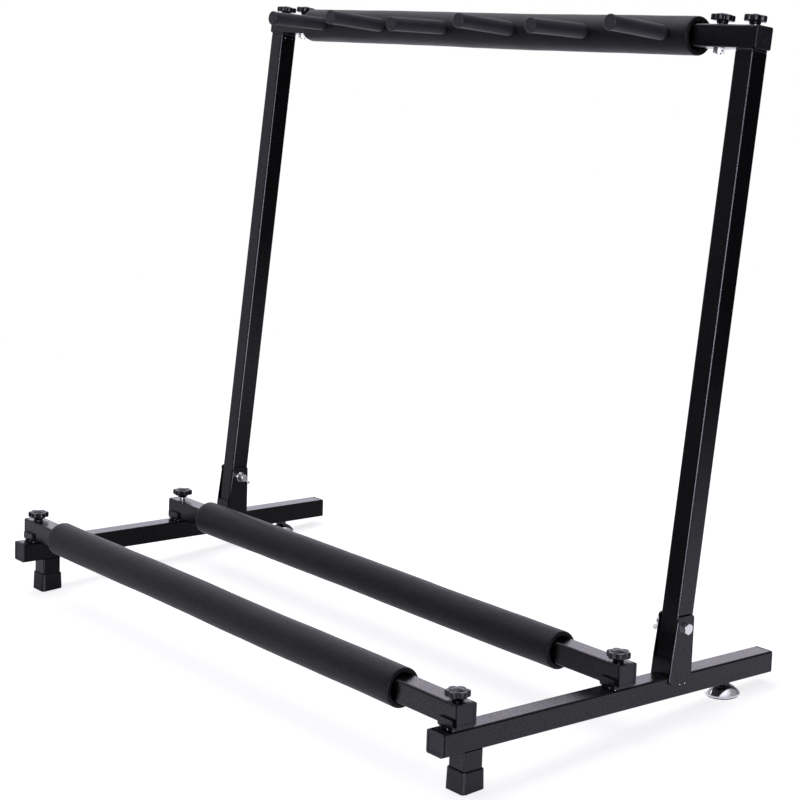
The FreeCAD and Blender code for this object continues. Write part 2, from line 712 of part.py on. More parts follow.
def wing_nut(label):
    """A wing nut that stands on Z 0, with its two wings along X."""
    body = new_body(label)
    foot = S.wing_hub / 2
    top = S.wing_hub_top / 2
    hub = [(0, 0), (foot, 0), (top, S.wing_hub_height), (0, S.wing_hub_height)]
    revolve(body, outline(sketch(body, "XZ_Plane"), hub))
    tip = S.wing_spread / 2
    ear = S.wing_rise / 4
    wing = [
        (0, S.wing_hub_height / 4),
        (foot, S.wing_hub_height / 4),
        (tip, S.wing_rise - ear, ear, True),
        (tip - ear, S.wing_rise, ear, True),
        (tip - 2 * ear, S.wing_rise - ear),
        (top, S.wing_hub_height * 0.9),
        (0, S.wing_hub_height * 0.9),
    ]
    half = pad(body, outline(sketch(body, "XZ_Plane"), wing), S.wing_thickness, symmetric=True)
    pair = body.newObject("PartDesign::PolarPattern", f"{label}_pair")
    pair.Originals = [half]
    pair.Axis = (half.Profile[0], ["V_Axis"])
    pair.Occurrences = 2
    body.Tip = pair
    doc.recompute()
    bore = S.bolt_diameter + 2 * S.running_gap
    pocket(body, circle(sketch(body, "XY_Plane"), 0, 0, bore), depth=2 * S.wing_rise, symmetric=True)
    return body


def star_outline(drawing):
    """The outline of a star knob's rim: round lobes with smaller hollows between them."""
    lobe = S.knob_lobe / 2
    valley = S.knob_valley / 2
    ring = S.knob_diameter / 2 - lobe
    count = round(plain(S.knob_lobes))
    half_step = math.pi / count
    across = lobe + valley
    aside = ring * math.sin(half_step)
    valley_ring = ring * math.cos(half_step) + root(across * across - aside * aside)
    share = lobe / across
    corners = []
    for number in range(count):
        angle = 2 * half_step * number
        lobe_x, lobe_y = ring * math.cos(angle), ring * math.sin(angle)
        for turn, radius, leftward in ((-half_step, lobe, True), (half_step, valley, False)):
            valley_x = valley_ring * math.cos(angle + turn)
            valley_y = valley_ring * math.sin(angle + turn)
            x = lobe_x + (valley_x - lobe_x) * share
            y = lobe_y + (valley_y - lobe_y) * share
            corners.append((x, y, radius, leftward))
    return outline(drawing, corners)


def star_knob(label):
    """A moulded star knob: hub foot at Z 0, lobed rim above it, and a raised cap with a groove round it."""
    body = new_body(label)
    low = S.knob_hub
    top = S.knob_hub + S.knob_rim
    solid = pad(body, star_outline(sketch(body, "XY_Plane", raised=low)), S.knob_rim)
    fillet(body, solid, lambda edge: is_level(edge, "Z", low, top), S.knob_round)
    cap = S.knob_cap / 2
    ditch = [(cap, top), (cap + S.knob_groove / 2, top - S.knob_groove), (cap + S.knob_groove, top)]
    groove(body, outline(sketch(body, "XZ_Plane"), ditch))
    dome = (cap * cap + S.knob_cap_rise * S.knob_cap_rise) / (2 * S.knob_cap_rise)
    middle = [
        (0, 0),
        (S.knob_hub_foot / 2, 0),
        (S.knob_hub_top / 2, low),
        (cap, (low + top) / 2),
        (cap, top, dome, True),
        (0, top + S.knob_cap_rise),
    ]
    revolve(body, outline(sketch(body, "XZ_Plane"), middle))
    bore = S.bolt_diameter + 2 * S.knob_mould_gap
    pocket(body, circle(sketch(body, "XY_Plane"), 0, 0, bore), depth=S.knob_grip, reverse=True)
    return body


def stud(label, length):
    """The threaded stud of a star knob, from its lower end at Z 0."""
    rod = doc.addObject("Part::Cylinder", label)
    rod.Label = label
    bind(rod, "Radius", S.bolt_diameter / 2)
    bind(rod, "Height", length)
    return rod


# Foam and rubber

def foam_sleeve(label, length):
    """A foam sleeve along Z, from Z 0, with softly rounded ends."""
    body = new_body(label)
    drawing = circle(sketch(body, "XY_Plane"), 0, 0, S.foam_diameter)
    circle(drawing, 0, 0, S.foam_bore)
    solid = pad(body, drawing, length)
    fillet(body, solid, lambda edge: is_ring(edge, S.foam_diameter), S.foam_round)
    return body


def peg_sleeve(label):
    """A rubber peg along Z: rounded foot at Z 0, groove, lip and dish at the tip, blind bore for its rod."""
    body = new_body(label)
    side = S.peg_diameter / 2
    lip = side + S.peg_lip
    bore = S.peg_rod / 2 + S.peg_rod_gap
    tip = S.peg_length
    foot = S.peg_round
    heel = tip - S.peg_lip_length
    brim = lip - S.peg_lip_round
    skin = [
        (bore, 0),
        (side - foot, 0, foot, True),
        (side, foot),
        (side, heel - S.peg_groove),
        (side - S.peg_groove, heel - S.peg_groove / 2),
        (lip, heel),
        (lip, tip - S.peg_lip_round, S.peg_lip_round, True),
        (brim, tip),
        (brim - S.peg_dish, tip - S.peg_dish),
        (0, tip - S.peg_dish),
        (0, S.peg_rod_reach + S.peg_rod_gap),
        (bore, S.peg_rod_reach + S.peg_rod_gap),
    ]
    revolve(body, outline(sketch(body, "XZ_Plane"), skin))
    return body


def peg_rod(label, length):
    """The steel rod of a peg."""
    rod = doc.addObject("Part::Cylinder", label)
    rod.Label = label
    bind(rod, "Radius", S.peg_rod / 2)
    bind(rod, "Height", length)
    return rod


# Assembly

def add_base():
    """The rails with their plugs, feet, glides, saddles and brackets."""
    bar_reaches = (S.front_bar_reach, S.rear_bar_reach)
    nut_ceiling = S.tube_side - S.tube_wall
    plugs = []
    knob_nuts = []
    stems = []
    glide_nuts = []
    for side, sign in SIDES:
        x = RAIL_X * sign
        rail = square_tube(f"{side}_rail", S.rail_length)
        drill(rail, "X", bar_reaches, STUD_HOLE, wall=1)
        drill(rail, "X", [S.glide_reach], S.glide_thread + 2 * S.hole_gap, wall=-1)
        node(f"{side}_rail", place(rail, BASE, (x, 0, S.tube_side / 2), ALONG_Y))
        rear_end = (x, S.rail_length, S.tube_side / 2)
        plugs.append(place(end_plug(f"{side}_rail_front_plug"), BASE, (x, 0, S.tube_side / 2), TO_FRONT))
        plugs.append(place(end_plug(f"{side}_rail_rear_plug"), BASE, rear_end, TO_BACK))
        add_foot(side, x)
        add_glide(side, x)
        stems.append(place(glide_stem(f"{side}_glide_stem"), BASE, (x, S.glide_reach, 0)))
        glide_nut = hex_nut(f"{side}_glide_nut", S.glide_nut_flats, S.glide_nut_height, S.glide_thread)
        glide_nuts.append(place(glide_nut, BASE, (x, S.glide_reach, S.tube_wall)))
        saddles = []
        for row, reach in zip(("front", "rear"), bar_reaches):
            saddles.append(place(saddle(f"{side}_{row}_saddle"), BASE, (x, reach, S.tube_side)))
            nut = hex_nut(f"{side}_{row}_knob_nut", S.bolt_flats, S.nut_height, S.bolt_diameter)
            knob_nuts.append(place(nut, BASE, (x, reach, nut_ceiling - S.nut_height)))
        node(f"{side}_saddles", *saddles)
        bracket = upright_bracket(f"{side}_upright_bracket")
        node(f"{side}_upright_bracket", place(bracket, BASE, (x, S.pivot_reach, S.tube_side)))
    node("rail_plugs", *plugs)
    node("glide_stems", *stems)
    node("rail_knob_nuts", *knob_nuts)
    node("rail_glide_nuts", *glide_nuts)


def add_foot(side, x):
    """A front foot: a short post under the rail and its rubber cap."""
    post = square_tube(f"{side}_foot_post", S.foot_height - S.cap_floor)
    node(f"{side}_foot_post", place(post, BASE, (x, S.post_reach, S.cap_floor - S.foot_height)))
    cap = foot_cap(f"{side}_foot_cap")
    node(f"{side}_foot_cap", place(cap, BASE, (x, S.post_reach, -S.foot_height)))


def add_glide(side, x):
    """A rear levelling glide: its domed disc and pad, level under the ball of its stem."""
    ball = BASE.multVec(Vector(plain(x), plain(S.glide_reach), plain(GLIDE_BALL_HEIGHT - S.glide_height)))
    below = (ball.x, ball.y, ball.z - plain(GLIDE_BALL_HEIGHT))
    node(f"{side}_glide_disc", place(glide_disc(f"{side}_glide_disc"), ROW, below))
    node(f"{side}_glide_pad", place(glide_pad(f"{side}_glide_pad"), ROW, below))


def add_bar(name, frame, reach, axis_height, bare_left, bare_right):
    """A square bar across the stand with its end plugs and foam sleeve. Returns the bar and the sleeve."""
    half = S.bar_length / 2
    bar = square_tube(name, S.bar_length)
    drill(bar, "Y", (STUD_INSET, S.bar_length - STUD_INSET), STUD_HOLE)
    node(name, place(bar, frame, (-half, reach, axis_height), ALONG_X))
    left = place(end_plug(f"{name}_left_plug"), frame, (-half, reach, axis_height), TO_LEFT)
    right = place(end_plug(f"{name}_right_plug"), frame, (half, reach, axis_height), TO_RIGHT)
    node(f"{name}_plugs", left, right)
    foam = foam_sleeve(f"{name}_foam", S.bar_length - bare_left - bare_right)
    node(f"{name}_foam", place(foam, frame, (bare_left - half, reach, axis_height), ALONG_X))
    return bar, foam


def add_knob(name, frame, spot, slack, turn, below):
    """A star knob and its stud over a spot on a bar's top face. Screwed home, it ends a length below it."""
    x, y, z = spot
    lift = S.knob_seat + slack
    node(f"{name}_knob", place(star_knob(f"{name}_knob"), frame, (x, y, z + lift), turned("Z", plain(turn))))
    rod = stud(f"{name}_knob_stud", below + S.knob_grip)
    node(f"{name}_knob_stud", place(rod, frame, (x, y, z + lift - below)))


def add_lower_bars():
    """The two foam-covered bars that the guitars stand on, with the knobs that hold them."""
    through = BAR_TOP - S.tube_side + S.tube_wall + S.nut_height + S.stud_spare
    add_bar("front_bar", BASE, S.front_bar_reach, BAR_AXIS, S.front_foam_left, S.front_foam_right)
    add_bar("rear_bar", BASE, S.rear_bar_reach, BAR_AXIS, S.rear_foam_left, S.rear_foam_right)
    for name, side, reach, slack, turn in (
        ("front_left", -1, S.front_bar_reach, S.front_left_slack, S.front_left_turn),
        ("front_right", 1, S.front_bar_reach, S.front_right_slack, S.front_right_turn),
        ("rear_left", -1, S.rear_bar_reach, S.rear_left_slack, S.rear_left_turn),
        ("rear_right", 1, S.rear_bar_reach, S.rear_right_slack, S.rear_right_turn),
    ):
        add_knob(name, BASE, (RAIL_X * side, reach, BAR_TOP), slack, turn, through)


def add_pivots():
    """The bolt, washer and wing nut of each fold pivot: the head outside, the wing nut inside."""
    washers = []
    for (side, sign), angle in zip(SIDES, (S.left_wing_turn, S.right_wing_turn)):
        plate = S.tube_side / 2 + S.bracket_gap + S.bracket_sheet
        height = S.tube_side + S.pivot_height
        outer = (RAIL_X + plate) * sign
        inner = (RAIL_X - plate) * sign
        seat = (RAIL_X - plate - S.washer_height) * sign
        inward = TO_RIGHT if sign < 0 else TO_LEFT
        bolt = hex_bolt(f"{side}_pivot_bolt")
        node(f"{side}_pivot_bolt", place(bolt, BASE, (outer, S.pivot_reach, height), inward))
        washers.append(place(washer(f"{side}_pivot_washer"), BASE, (inner, S.pivot_reach, height), inward))
        turn = inward.multiply(turned("Z", plain(angle)))
        nut = wing_nut(f"{side}_wing_nut")
        node(f"{side}_wing_nut", place(nut, BASE, (seat, S.pivot_reach, height), turn))
    node("pivot_washers", *washers)


def add_neck_frame():
    """The folding frame: uprights, neck bar with its foam and knobs, and the pegs."""
    plugs = []
    nuts = []
    through = S.tube_side + S.plug_flange + S.nut_height + S.stud_spare
    past = S.tube_side + S.nut_height + S.stud_spare
    for side, sign in SIDES:
        x = RAIL_X * sign
        upright = square_tube(f"{side}_upright", S.upright_tail + S.upright_above)
        drill(upright, "X", [S.upright_tail], S.bolt_diameter + 2 * S.running_gap)
        node(f"{side}_upright", place(upright, NECK, (x, 0, -S.upright_tail)))
        plugs.append(place(end_plug(f"{side}_upright_plug", STUD_HOLE), NECK, (x, 0, S.upright_above)))
        nut = hex_nut(f"{side}_upright_nut", S.bolt_flats, S.nut_height, S.bolt_diameter)
        nuts.append(place(nut, NECK, (x, 0, S.upright_above - S.nut_height)))
        spin = S.neck_knob_turn * sign
        add_knob(f"neck_{side}_outer", NECK, (x, 0, NECK_BAR_TOP), S.neck_knob_slack, spin, through)
        inner = (RAIL_X - S.neck_knob_pitch) * sign
        add_knob(f"neck_{side}_inner", NECK, (inner, 0, NECK_BAR_TOP), S.neck_knob_slack, -spin, past)
        lock = hex_nut(f"{side}_neck_bar_nut", S.bolt_flats, S.nut_height, S.bolt_diameter)
        nuts.append(place(lock, NECK, (inner, 0, NECK_BAR_LOW - S.nut_height)))
    node("upright_plugs", *plugs)
    node("neck_knob_nuts", *nuts)
    bar, foam = add_bar("neck_bar", NECK, 0, NECK_BAR_AXIS, S.neck_foam_left, S.neck_foam_right)
    inner_hole = STUD_INSET + S.neck_knob_pitch
    drill(bar, "Y", (inner_hole, S.bar_length - inner_hole), STUD_HOLE)
    add_pegs(bar, foam)


def add_pegs(bar, foam):
    """The pegs between the guitars' necks: steel rods through the foam, with rubber sleeves."""
    droops = (S.peg_1_droop, S.peg_2_droop, S.peg_3_droop, S.peg_4_droop, S.peg_5_droop, S.peg_6_droop)
    pitch = (S.bar_length - S.peg_left - S.peg_right) / (len(droops) - 1)
    on_bar = [S.peg_left + pitch * number for number in range(len(droops))]
    on_foam = [spot - S.neck_foam_left for spot in on_bar]
    drill(bar, "X", on_bar, S.peg_rod + 2 * S.peg_hole_gap, wall=-1)
    drill(foam, "X", on_foam, S.peg_rod + 2 * S.peg_foam_gap, wall=-1)
    gap = S.foam_diameter / 2 - S.tube_side / 2 + S.peg_seat
    rods = []
    for number, (spot, droop) in enumerate(zip(on_bar, droops), start=1):
        front_wall = NECK.multiply(Placement(
            Vector(plain(spot - S.bar_length / 2), -plain(S.tube_side) / 2, plain(NECK_BAR_AXIS)),
            turned("X", 90 + plain(droop)),
        ))
        node(f"neck_peg_{number}", place(peg_sleeve(f"neck_peg_{number}"), front_wall, (0, 0, gap)))
        length = S.peg_rod_tail + gap + S.peg_rod_reach
        rods.append(place(peg_rod(f"peg_rod_{number}", length), front_wall, (0, 0, -S.peg_rod_tail)))
    node("peg_rods", *rods)


def centre_on_floor():
    """Moves the whole stand so that the origin lies on the floor under the middle of its outer box."""
    boxes = [piece.Shape.optimalBoundingBox(False, False) for piece in leaves]
    low = min(box.YMin for box in boxes)
    high = max(box.YMax for box in boxes)
    shift = Placement(Vector(0, -(low + high) / 2, 0), Rotation())
    for piece in leaves:
        piece.Placement = shift.multiply(piece.Placement)
    doc.recompute()
    return shift


def check_and_write():
    """Stops on any failed object, then writes each node's solids to its own file."""
    for item in doc.Objects:
        if {"Invalid", "Error"} & set(item.State):
            raise RuntimeError(f"{item.Label} failed: {item.State}")
    os.makedirs("parts", exist_ok=True)
    for label, piece in nodes.items():
        shape = piece.Shape
        if shape.isNull() or not shape.isValid() or not shape.Solids:
            raise RuntimeError(f"{label} has no valid solid")
        shape.exportStep(f"parts/{label}.step")


def main():
    """Builds the stand, stands it on its origin and writes its nodes."""
    add_base()
    add_lower_bars()
    add_pivots()
    add_neck_frame()
    doc.recompute()
    shift = centre_on_floor()
    check_and_write()
    pivot = shift.multVec(BASE.multVec(PIVOT))
    print(f"{len(nodes)} nodes, base tilt {TILT:.3f} degrees")
    print(f"fold pivot at y {pivot.y:.4f}, z {pivot.z:.4f}, shift {shift.Base.y:.4f}")


main()
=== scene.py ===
"""Dresses the multi guitar stand: finishes, foam sleeves, weld beads, screw threads, studio and camera."""

from __future__ import annotations

import json
import logging
import math
import random
from dataclasses import dataclass, field
from enum import Enum
from typing import Any, Iterable, Sequence

import bpy
from mathutils import Matrix, Vector

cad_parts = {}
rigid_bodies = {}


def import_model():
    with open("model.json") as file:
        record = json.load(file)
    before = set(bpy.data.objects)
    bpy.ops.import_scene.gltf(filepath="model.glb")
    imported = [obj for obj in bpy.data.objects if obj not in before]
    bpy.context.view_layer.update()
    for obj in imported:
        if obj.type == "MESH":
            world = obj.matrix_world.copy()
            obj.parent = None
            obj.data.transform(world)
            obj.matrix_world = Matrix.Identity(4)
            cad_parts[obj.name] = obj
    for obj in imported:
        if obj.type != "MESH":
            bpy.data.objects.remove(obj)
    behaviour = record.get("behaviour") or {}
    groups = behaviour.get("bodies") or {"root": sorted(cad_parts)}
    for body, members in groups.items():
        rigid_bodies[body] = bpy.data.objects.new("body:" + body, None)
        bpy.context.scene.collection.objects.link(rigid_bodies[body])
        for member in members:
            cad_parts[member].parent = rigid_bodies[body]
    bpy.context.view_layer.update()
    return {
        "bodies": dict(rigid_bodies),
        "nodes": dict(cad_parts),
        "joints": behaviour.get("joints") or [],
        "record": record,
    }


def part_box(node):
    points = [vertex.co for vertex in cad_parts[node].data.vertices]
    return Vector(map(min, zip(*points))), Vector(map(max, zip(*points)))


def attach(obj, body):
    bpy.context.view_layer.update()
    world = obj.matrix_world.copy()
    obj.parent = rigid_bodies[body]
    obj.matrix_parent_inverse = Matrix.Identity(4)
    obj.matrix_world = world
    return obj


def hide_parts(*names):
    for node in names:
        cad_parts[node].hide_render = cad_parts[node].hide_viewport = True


LOG = logging.getLogger("guitar_stand")
MM = 0.001
TURN = 2.0 * math.pi
HALF = TURN / 2
QUARTER = TURN / 4
LEVEL_PART = (1.0, 1.0, 0.0)
WHITE = (1.0, 1.0, 1.0)
PLAIN_WHITE = (*WHITE, 1.0)

SIDES = ("left", "right")
LOWER_KNOBS = ("front_left", "front_right", "rear_left", "rear_right")

Inputs = dict[str | int, Any]
Frame = dict[str, Any]


class Slot(Enum):
    """The record's material slots, one for each finish of the stand."""

    FRAME_PAINT = "frame_paint"
    PLUG_PLASTIC = "plug_plastic"
    FOOT_RUBBER = "foot_rubber"
    FOAM = "foam"
    PEG_RUBBER = "peg_rubber"
    ZINC_STEEL = "zinc_steel"
    BLACK_STEEL = "black_steel"
    GLIDE_CHROME = "glide_chrome"
    GLIDE_PLASTIC = "glide_plastic"
    KNOB_PLASTIC = "knob_plastic"


class Socket(Enum):
    """The kinds of socket that the node groups use."""

    NUMBER = "NodeSocketFloat"
    WHOLE = "NodeSocketInt"
    COLOUR = "NodeSocketColor"
    VECTOR = "NodeSocketVector"
    GEOMETRY = "NodeSocketGeometry"
    MATERIAL = "NodeSocketMaterial"


class Graph:
    """Adds and links the nodes of one node tree."""

    def __init__(self, tree: bpy.types.NodeTree) -> None:
        """Works on a tree that already exists."""
        self.tree = tree

    def add(self, kind: str, inputs: Inputs | None = None, **settings: Any) -> bpy.types.Node:
        """Adds a node.

        Args:
            kind: Blender's name of the node's type.
            inputs: values or output sockets by the input's name or number.
            settings: properties of the node itself.

        Returns:
            The new node.
        """
        node = self.tree.nodes.new(kind)
        for name, value in settings.items():
            setattr(node, name, value)
        for name, value in (inputs or {}).items():
            self.feed(node.inputs[name], value)
        return node

    def feed(self, target: bpy.types.NodeSocket, value: Any) -> None:
        """Links an output socket to an input, or sets the input's own value.

        Args:
            target: the input.
            value: an output socket or a plain value.
        """
        if isinstance(value, bpy.types.NodeSocket):
            self.tree.links.new(value, target)
        else:
            target.default_value = value

    def math(self, operation: str, first: Any, second: Any) -> bpy.types.NodeSocket:
        """The result of one sum.

        Args:
            operation: Blender's name of the sum.
            first, second: the values or sockets.

        Returns:
            The socket of the result.
        """
        node = self.add("ShaderNodeMath", operation=operation)
        self.feed(node.inputs[0], first)
        self.feed(node.inputs[1], second)
        return node.outputs[0]

    def ramp(
        self, value: Any, low: float, high: float, to_low: float, to_high: float,
    ) -> bpy.types.NodeSocket:
        """A value moved from one range to another and held there.

        Args:
            value: the value or socket.
            low, high: the range that it has.
            to_low, to_high: the range that it gets.

        Returns:
            The socket of the moved value.
        """
        inputs = {"Value": value, "From Min": low, "From Max": high, "To Min": to_low, "To Max": to_high}
        return self.add("ShaderNodeMapRange", inputs, clamp=True).outputs["Result"]

    def blend(self, factor: Any, first: Any, second: Any) -> bpy.types.NodeSocket:
        """A colour between two.

        Args:
            factor: 0 for the first colour, 1 for the second.
            first, second: the colours or their sockets.

        Returns:
            The socket of the colour.
        """
        node = self.add("ShaderNodeMix", data_type="RGBA")
        self.feed(node.inputs["Factor"], factor)
        self.feed(node.inputs[6], first)
        self.feed(node.inputs[7], second)
        return node.outputs[2]


def new_group(
    name: str,
    kind: str,
    inputs: Sequence[tuple[str, Socket]],
    outputs: Sequence[tuple[str, Socket]],
) -> tuple[bpy.types.NodeTree, Graph, bpy.types.Node, bpy.types.Node]:
    """An empty node group with named sockets.

    Args:
        name: the group's name.
        kind: "ShaderNodeTree" or "GeometryNodeTree".
        inputs: the input sockets' names and kinds.
        outputs: the output sockets' names and kinds.

    Returns:
        The tree, its graph, its input node and its output node.
    """
    tree = bpy.data.node_groups.new(name, kind)
    for label, socket in inputs:
        tree.interface.new_socket(name=label, in_out="INPUT", socket_type=socket.value)
    for label, socket in outputs:
        tree.interface.new_socket(name=label, in_out="OUTPUT", socket_type=socket.value)
    graph = Graph(tree)
    return tree, graph, graph.add("NodeGroupInput"), graph.add("NodeGroupOutput")


def empty_material(name: str) -> tuple[bpy.types.Material, Graph]:
    """A material without nodes.

    Args:
        name: the material's name.

    Returns:
        The material and the graph of its node tree.
    """
    material = bpy.data.materials.new(name)
    material.use_nodes = True
    material.node_tree.nodes.clear()
    return material, Graph(material.node_tree)


# Shader groups that several finishes share

class ShaderGroups:
    """The surface effects that more than one finish uses, each built once.

    Attributes:
        cloud_span: the noise values that give the darkest and the palest tone.
        speck_edge: how far from its middle a speck begins and ends to fade.
        speck_chosen: the random value above which a speck is kept.
        smear_span: the noise values at which a smear begins and is at its most.
        smear_most: how strong a smear gets.
    """

    cloud_span: tuple[float, float] = (0.32, 0.68)
    speck_edge: tuple[float, float] = (0.05, 0.09)
    speck_chosen: float = 0.72
    smear_span: tuple[float, float] = (0.52, 0.8)
    smear_most: float = 0.35

    def __init__(self) -> None:
        """Builds the groups."""
        self.grain = self._grain()
        self.cloud = self._cloud()
        self.dust = self._dust()

    @staticmethod
    def _grain() -> bpy.types.NodeTree:
        """Fine peel and pits of a coated or moulded surface, as a height.

        Returns:
            The group.
        """
        inputs = (("Vector", Socket.VECTOR), ("Peel Scale", Socket.NUMBER), ("Pit Scale", Socket.NUMBER),
                  ("Pit Share", Socket.NUMBER))
        outputs = (("Height", Socket.NUMBER),)
        tree, graph, enter, leave = new_group("surface_grain", "ShaderNodeTree", inputs, outputs)
        peel = graph.add("ShaderNodeTexNoise", {
            "Vector": enter.outputs["Vector"], "Scale": enter.outputs["Peel Scale"],
            "Detail": 2.0, "Roughness": 0.55,
        })
        pits = graph.add("ShaderNodeTexVoronoi", {
            "Vector": enter.outputs["Vector"], "Scale": enter.outputs["Pit Scale"],
        })
        share = enter.outputs["Pit Share"]
        rest = graph.math("SUBTRACT", 1.0, share)
        mixed = graph.math(
            "ADD", graph.math("MULTIPLY", peel.outputs[0], rest),
            graph.math("MULTIPLY", pits.outputs["Distance"], share),
        )
        graph.feed(leave.inputs["Height"], mixed)
        return tree

    @classmethod
    def _cloud(cls) -> bpy.types.NodeTree:
        """Slow change of tone over a surface, from 0 to 1, with fine noise in it.

        Returns:
            The group.
        """
        inputs = (("Vector", Socket.VECTOR), ("Scale", Socket.NUMBER), ("Fine Scale", Socket.NUMBER),
                  ("Fine Share", Socket.NUMBER))
        outputs = (("Value", Socket.NUMBER),)
        tree, graph, enter, leave = new_group("surface_cloud", "ShaderNodeTree", inputs, outputs)
        slow = graph.add("ShaderNodeTexNoise", {
            "Vector": enter.outputs["Vector"], "Scale": enter.outputs["Scale"],
            "Detail": 3.0, "Roughness": 0.6,
        })
        fine = graph.add("ShaderNodeTexNoise", {
            "Vector": enter.outputs["Vector"], "Scale": enter.outputs["Fine Scale"], "Detail": 1.0,
        })
        share = enter.outputs["Fine Share"]
        mixed = graph.math("ADD", graph.math("MULTIPLY", slow.outputs[0], graph.math("SUBTRACT", 1.0, share)),
                           graph.math("MULTIPLY", fine.outputs[0], share))
        graph.feed(leave.inputs["Value"], graph.ramp(mixed, *cls.cloud_span, 0.0, 1.0))
        return tree

    @classmethod
    def _dust(cls) -> bpy.types.NodeTree:
        """Sparse pale specks and faint smears, as a mask from 0 to 1.

        Returns:
            The group.
        """
        inputs = (("Vector", Socket.VECTOR), ("Speck Scale", Socket.NUMBER), ("Smear Scale", Socket.NUMBER))
        outputs = (("Mask", Socket.NUMBER),)
        tree, graph, enter, leave = new_group("surface_dust", "ShaderNodeTree", inputs, outputs)
        specks = graph.add("ShaderNodeTexVoronoi", {
            "Vector": enter.outputs["Vector"], "Scale": enter.outputs["Speck Scale"], "Randomness": 1.0,
        })
        dots = graph.ramp(specks.outputs["Distance"], *cls.speck_edge, 1.0, 0.0)
        chosen = graph.math("GREATER_THAN", specks.outputs["Color"], cls.speck_chosen)
        smear = graph.add("ShaderNodeTexNoise", {
            "Vector": enter.outputs["Vector"], "Scale": enter.outputs["Smear Scale"],
            "Detail": 4.0, "Distortion": 0.6,
        })
        film = graph.ramp(smear.outputs[0], *cls.smear_span, 0.0, cls.smear_most)
        shown = graph.math("MULTIPLY", dots, chosen)
        graph.feed(leave.inputs["Mask"], graph.math("MAXIMUM", shown, film))
        return tree


# Finishes

LINT = (0.22, 0.215, 0.21, 1.0)
LINT_DULLS = 0.5


@dataclass(frozen=True)
class Finish:
    """A black or plated finish with tone, gloss and relief that change over the surface.

    Attributes:
        name: the material's name.
        dark, pale: the ends of the tone's range.
        gloss: the roughness at those ends.
        cloud_scale, fine_scale, fine_share: the slow and fine change of tone, and the fine one's share.
        peel_scale, pit_scale, pit_share, relief: the grain, the pits' share of it and its depth in metres.
        metallic, specular, sheen: the shader's values of those names.
        dust, dust_speck_scale, dust_smear_scale: how much lint lies on the surface, its specks and smears.
        stretch: how the grain is drawn out along X, Y and Z.
        tint: the colour of reflections.
        glint, glint_gloss, glint_range: a coat on the grain's high spots, and where it begins and ends.
    """

    name: str
    dark: tuple[float, float, float]
    pale: tuple[float, float, float]
    gloss: tuple[float, float]
    cloud_scale: float
    fine_scale: float
    peel_scale: float
    pit_scale: float
    pit_share: float
    relief: float
    metallic: float = 0.0
    specular: float = 0.5
    sheen: float = 0.0
    dust: float = 0.0
    dust_speck_scale: float = 260.0
    dust_smear_scale: float = 9.0
    stretch: tuple[float, float, float] = (1.0, 1.0, 1.0)
    tint: tuple[float, float, float] = (0.93, 0.90, 1.0)
    glint: float = 0.0
    glint_gloss: float = 0.24
    glint_range: tuple[float, float] = (0.36, 0.62)
    fine_share: float = 0.35

    def build(self, groups: ShaderGroups) -> bpy.types.Material:
        """Makes the material.

        Args:
            groups: the shared surface effects.

        Returns:
            The finished material.
        """
        material, graph = empty_material(self.name)
        where = graph.add("ShaderNodeTexCoord").outputs["Object"]
        turned = graph.add("ShaderNodeMapping", {"Vector": where, "Scale": self.stretch}).outputs["Vector"]
        tone = self._group(graph, groups.cloud, {
            "Vector": where, "Scale": self.cloud_scale,
            "Fine Scale": self.fine_scale, "Fine Share": self.fine_share,
        }).outputs["Value"]
        grain = self._group(graph, groups.grain, {
            "Vector": turned, "Peel Scale": self.peel_scale,
            "Pit Scale": self.pit_scale, "Pit Share": self.pit_share,
        }).outputs["Height"]
        colour = graph.blend(tone, (*self.dark, 1.0), (*self.pale, 1.0))
        rough = graph.ramp(tone, 0.0, 1.0, *self.gloss)
        if self.dust > 0.0:
            colour, rough = self._dusted(graph, groups, where, colour, rough)
        bump = graph.add("ShaderNodeBump", {"Height": grain, "Strength": 1.0, "Distance": self.relief})
        shader = graph.add("ShaderNodeBsdfPrincipled", {
            "Base Color": colour, "Roughness": rough, "Normal": bump.outputs["Normal"],
            "Metallic": self.metallic, "Specular IOR Level": self.specular, "Sheen Weight": self.sheen,
            "Specular Tint": (*self.tint, 1.0), "Coat Roughness": self.glint_gloss,
        })
        if self.glint > 0.0:
            graph.feed(shader.inputs["Coat Weight"], graph.ramp(grain, *self.glint_range, 0.0, self.glint))
        graph.add("ShaderNodeOutputMaterial", {"Surface": shader.outputs["BSDF"]})
        return material

    def _dusted(
        self,
        graph: Graph,
        groups: ShaderGroups,
        where: bpy.types.NodeSocket,
        colour: bpy.types.NodeSocket,
        rough: bpy.types.NodeSocket,
    ) -> tuple[bpy.types.NodeSocket, bpy.types.NodeSocket]:
        """Lays pale specks and smears over a surface.

        Args:
            graph: the material's nodes.
            groups: the shared surface effects.
            where: the place on the piece.
            colour, rough: the surface's colour and roughness.

        Returns:
            The new colour and roughness.
        """
        mask = self._group(graph, groups.dust, {
            "Vector": where, "Speck Scale": self.dust_speck_scale, "Smear Scale": self.dust_smear_scale,
        }).outputs["Mask"]
        laid = graph.math("MULTIPLY", mask, self.dust)
        dulled = graph.math("MULTIPLY", laid, LINT_DULLS)
        return graph.blend(laid, colour, LINT), graph.math("ADD", rough, dulled)

    @staticmethod
    def _group(graph: Graph, tree: bpy.types.NodeTree, inputs: Inputs) -> bpy.types.Node:
        """Places a shared group in a material with its own values.

        Args:
            graph: the material's nodes.
            tree: the group.
            inputs: its values or sockets by name.

        Returns:
            The placed node.
        """
        node = graph.add("ShaderNodeGroup")
        node.node_tree = tree
        for name, value in inputs.items():
            graph.feed(node.inputs[name], value)
        return node


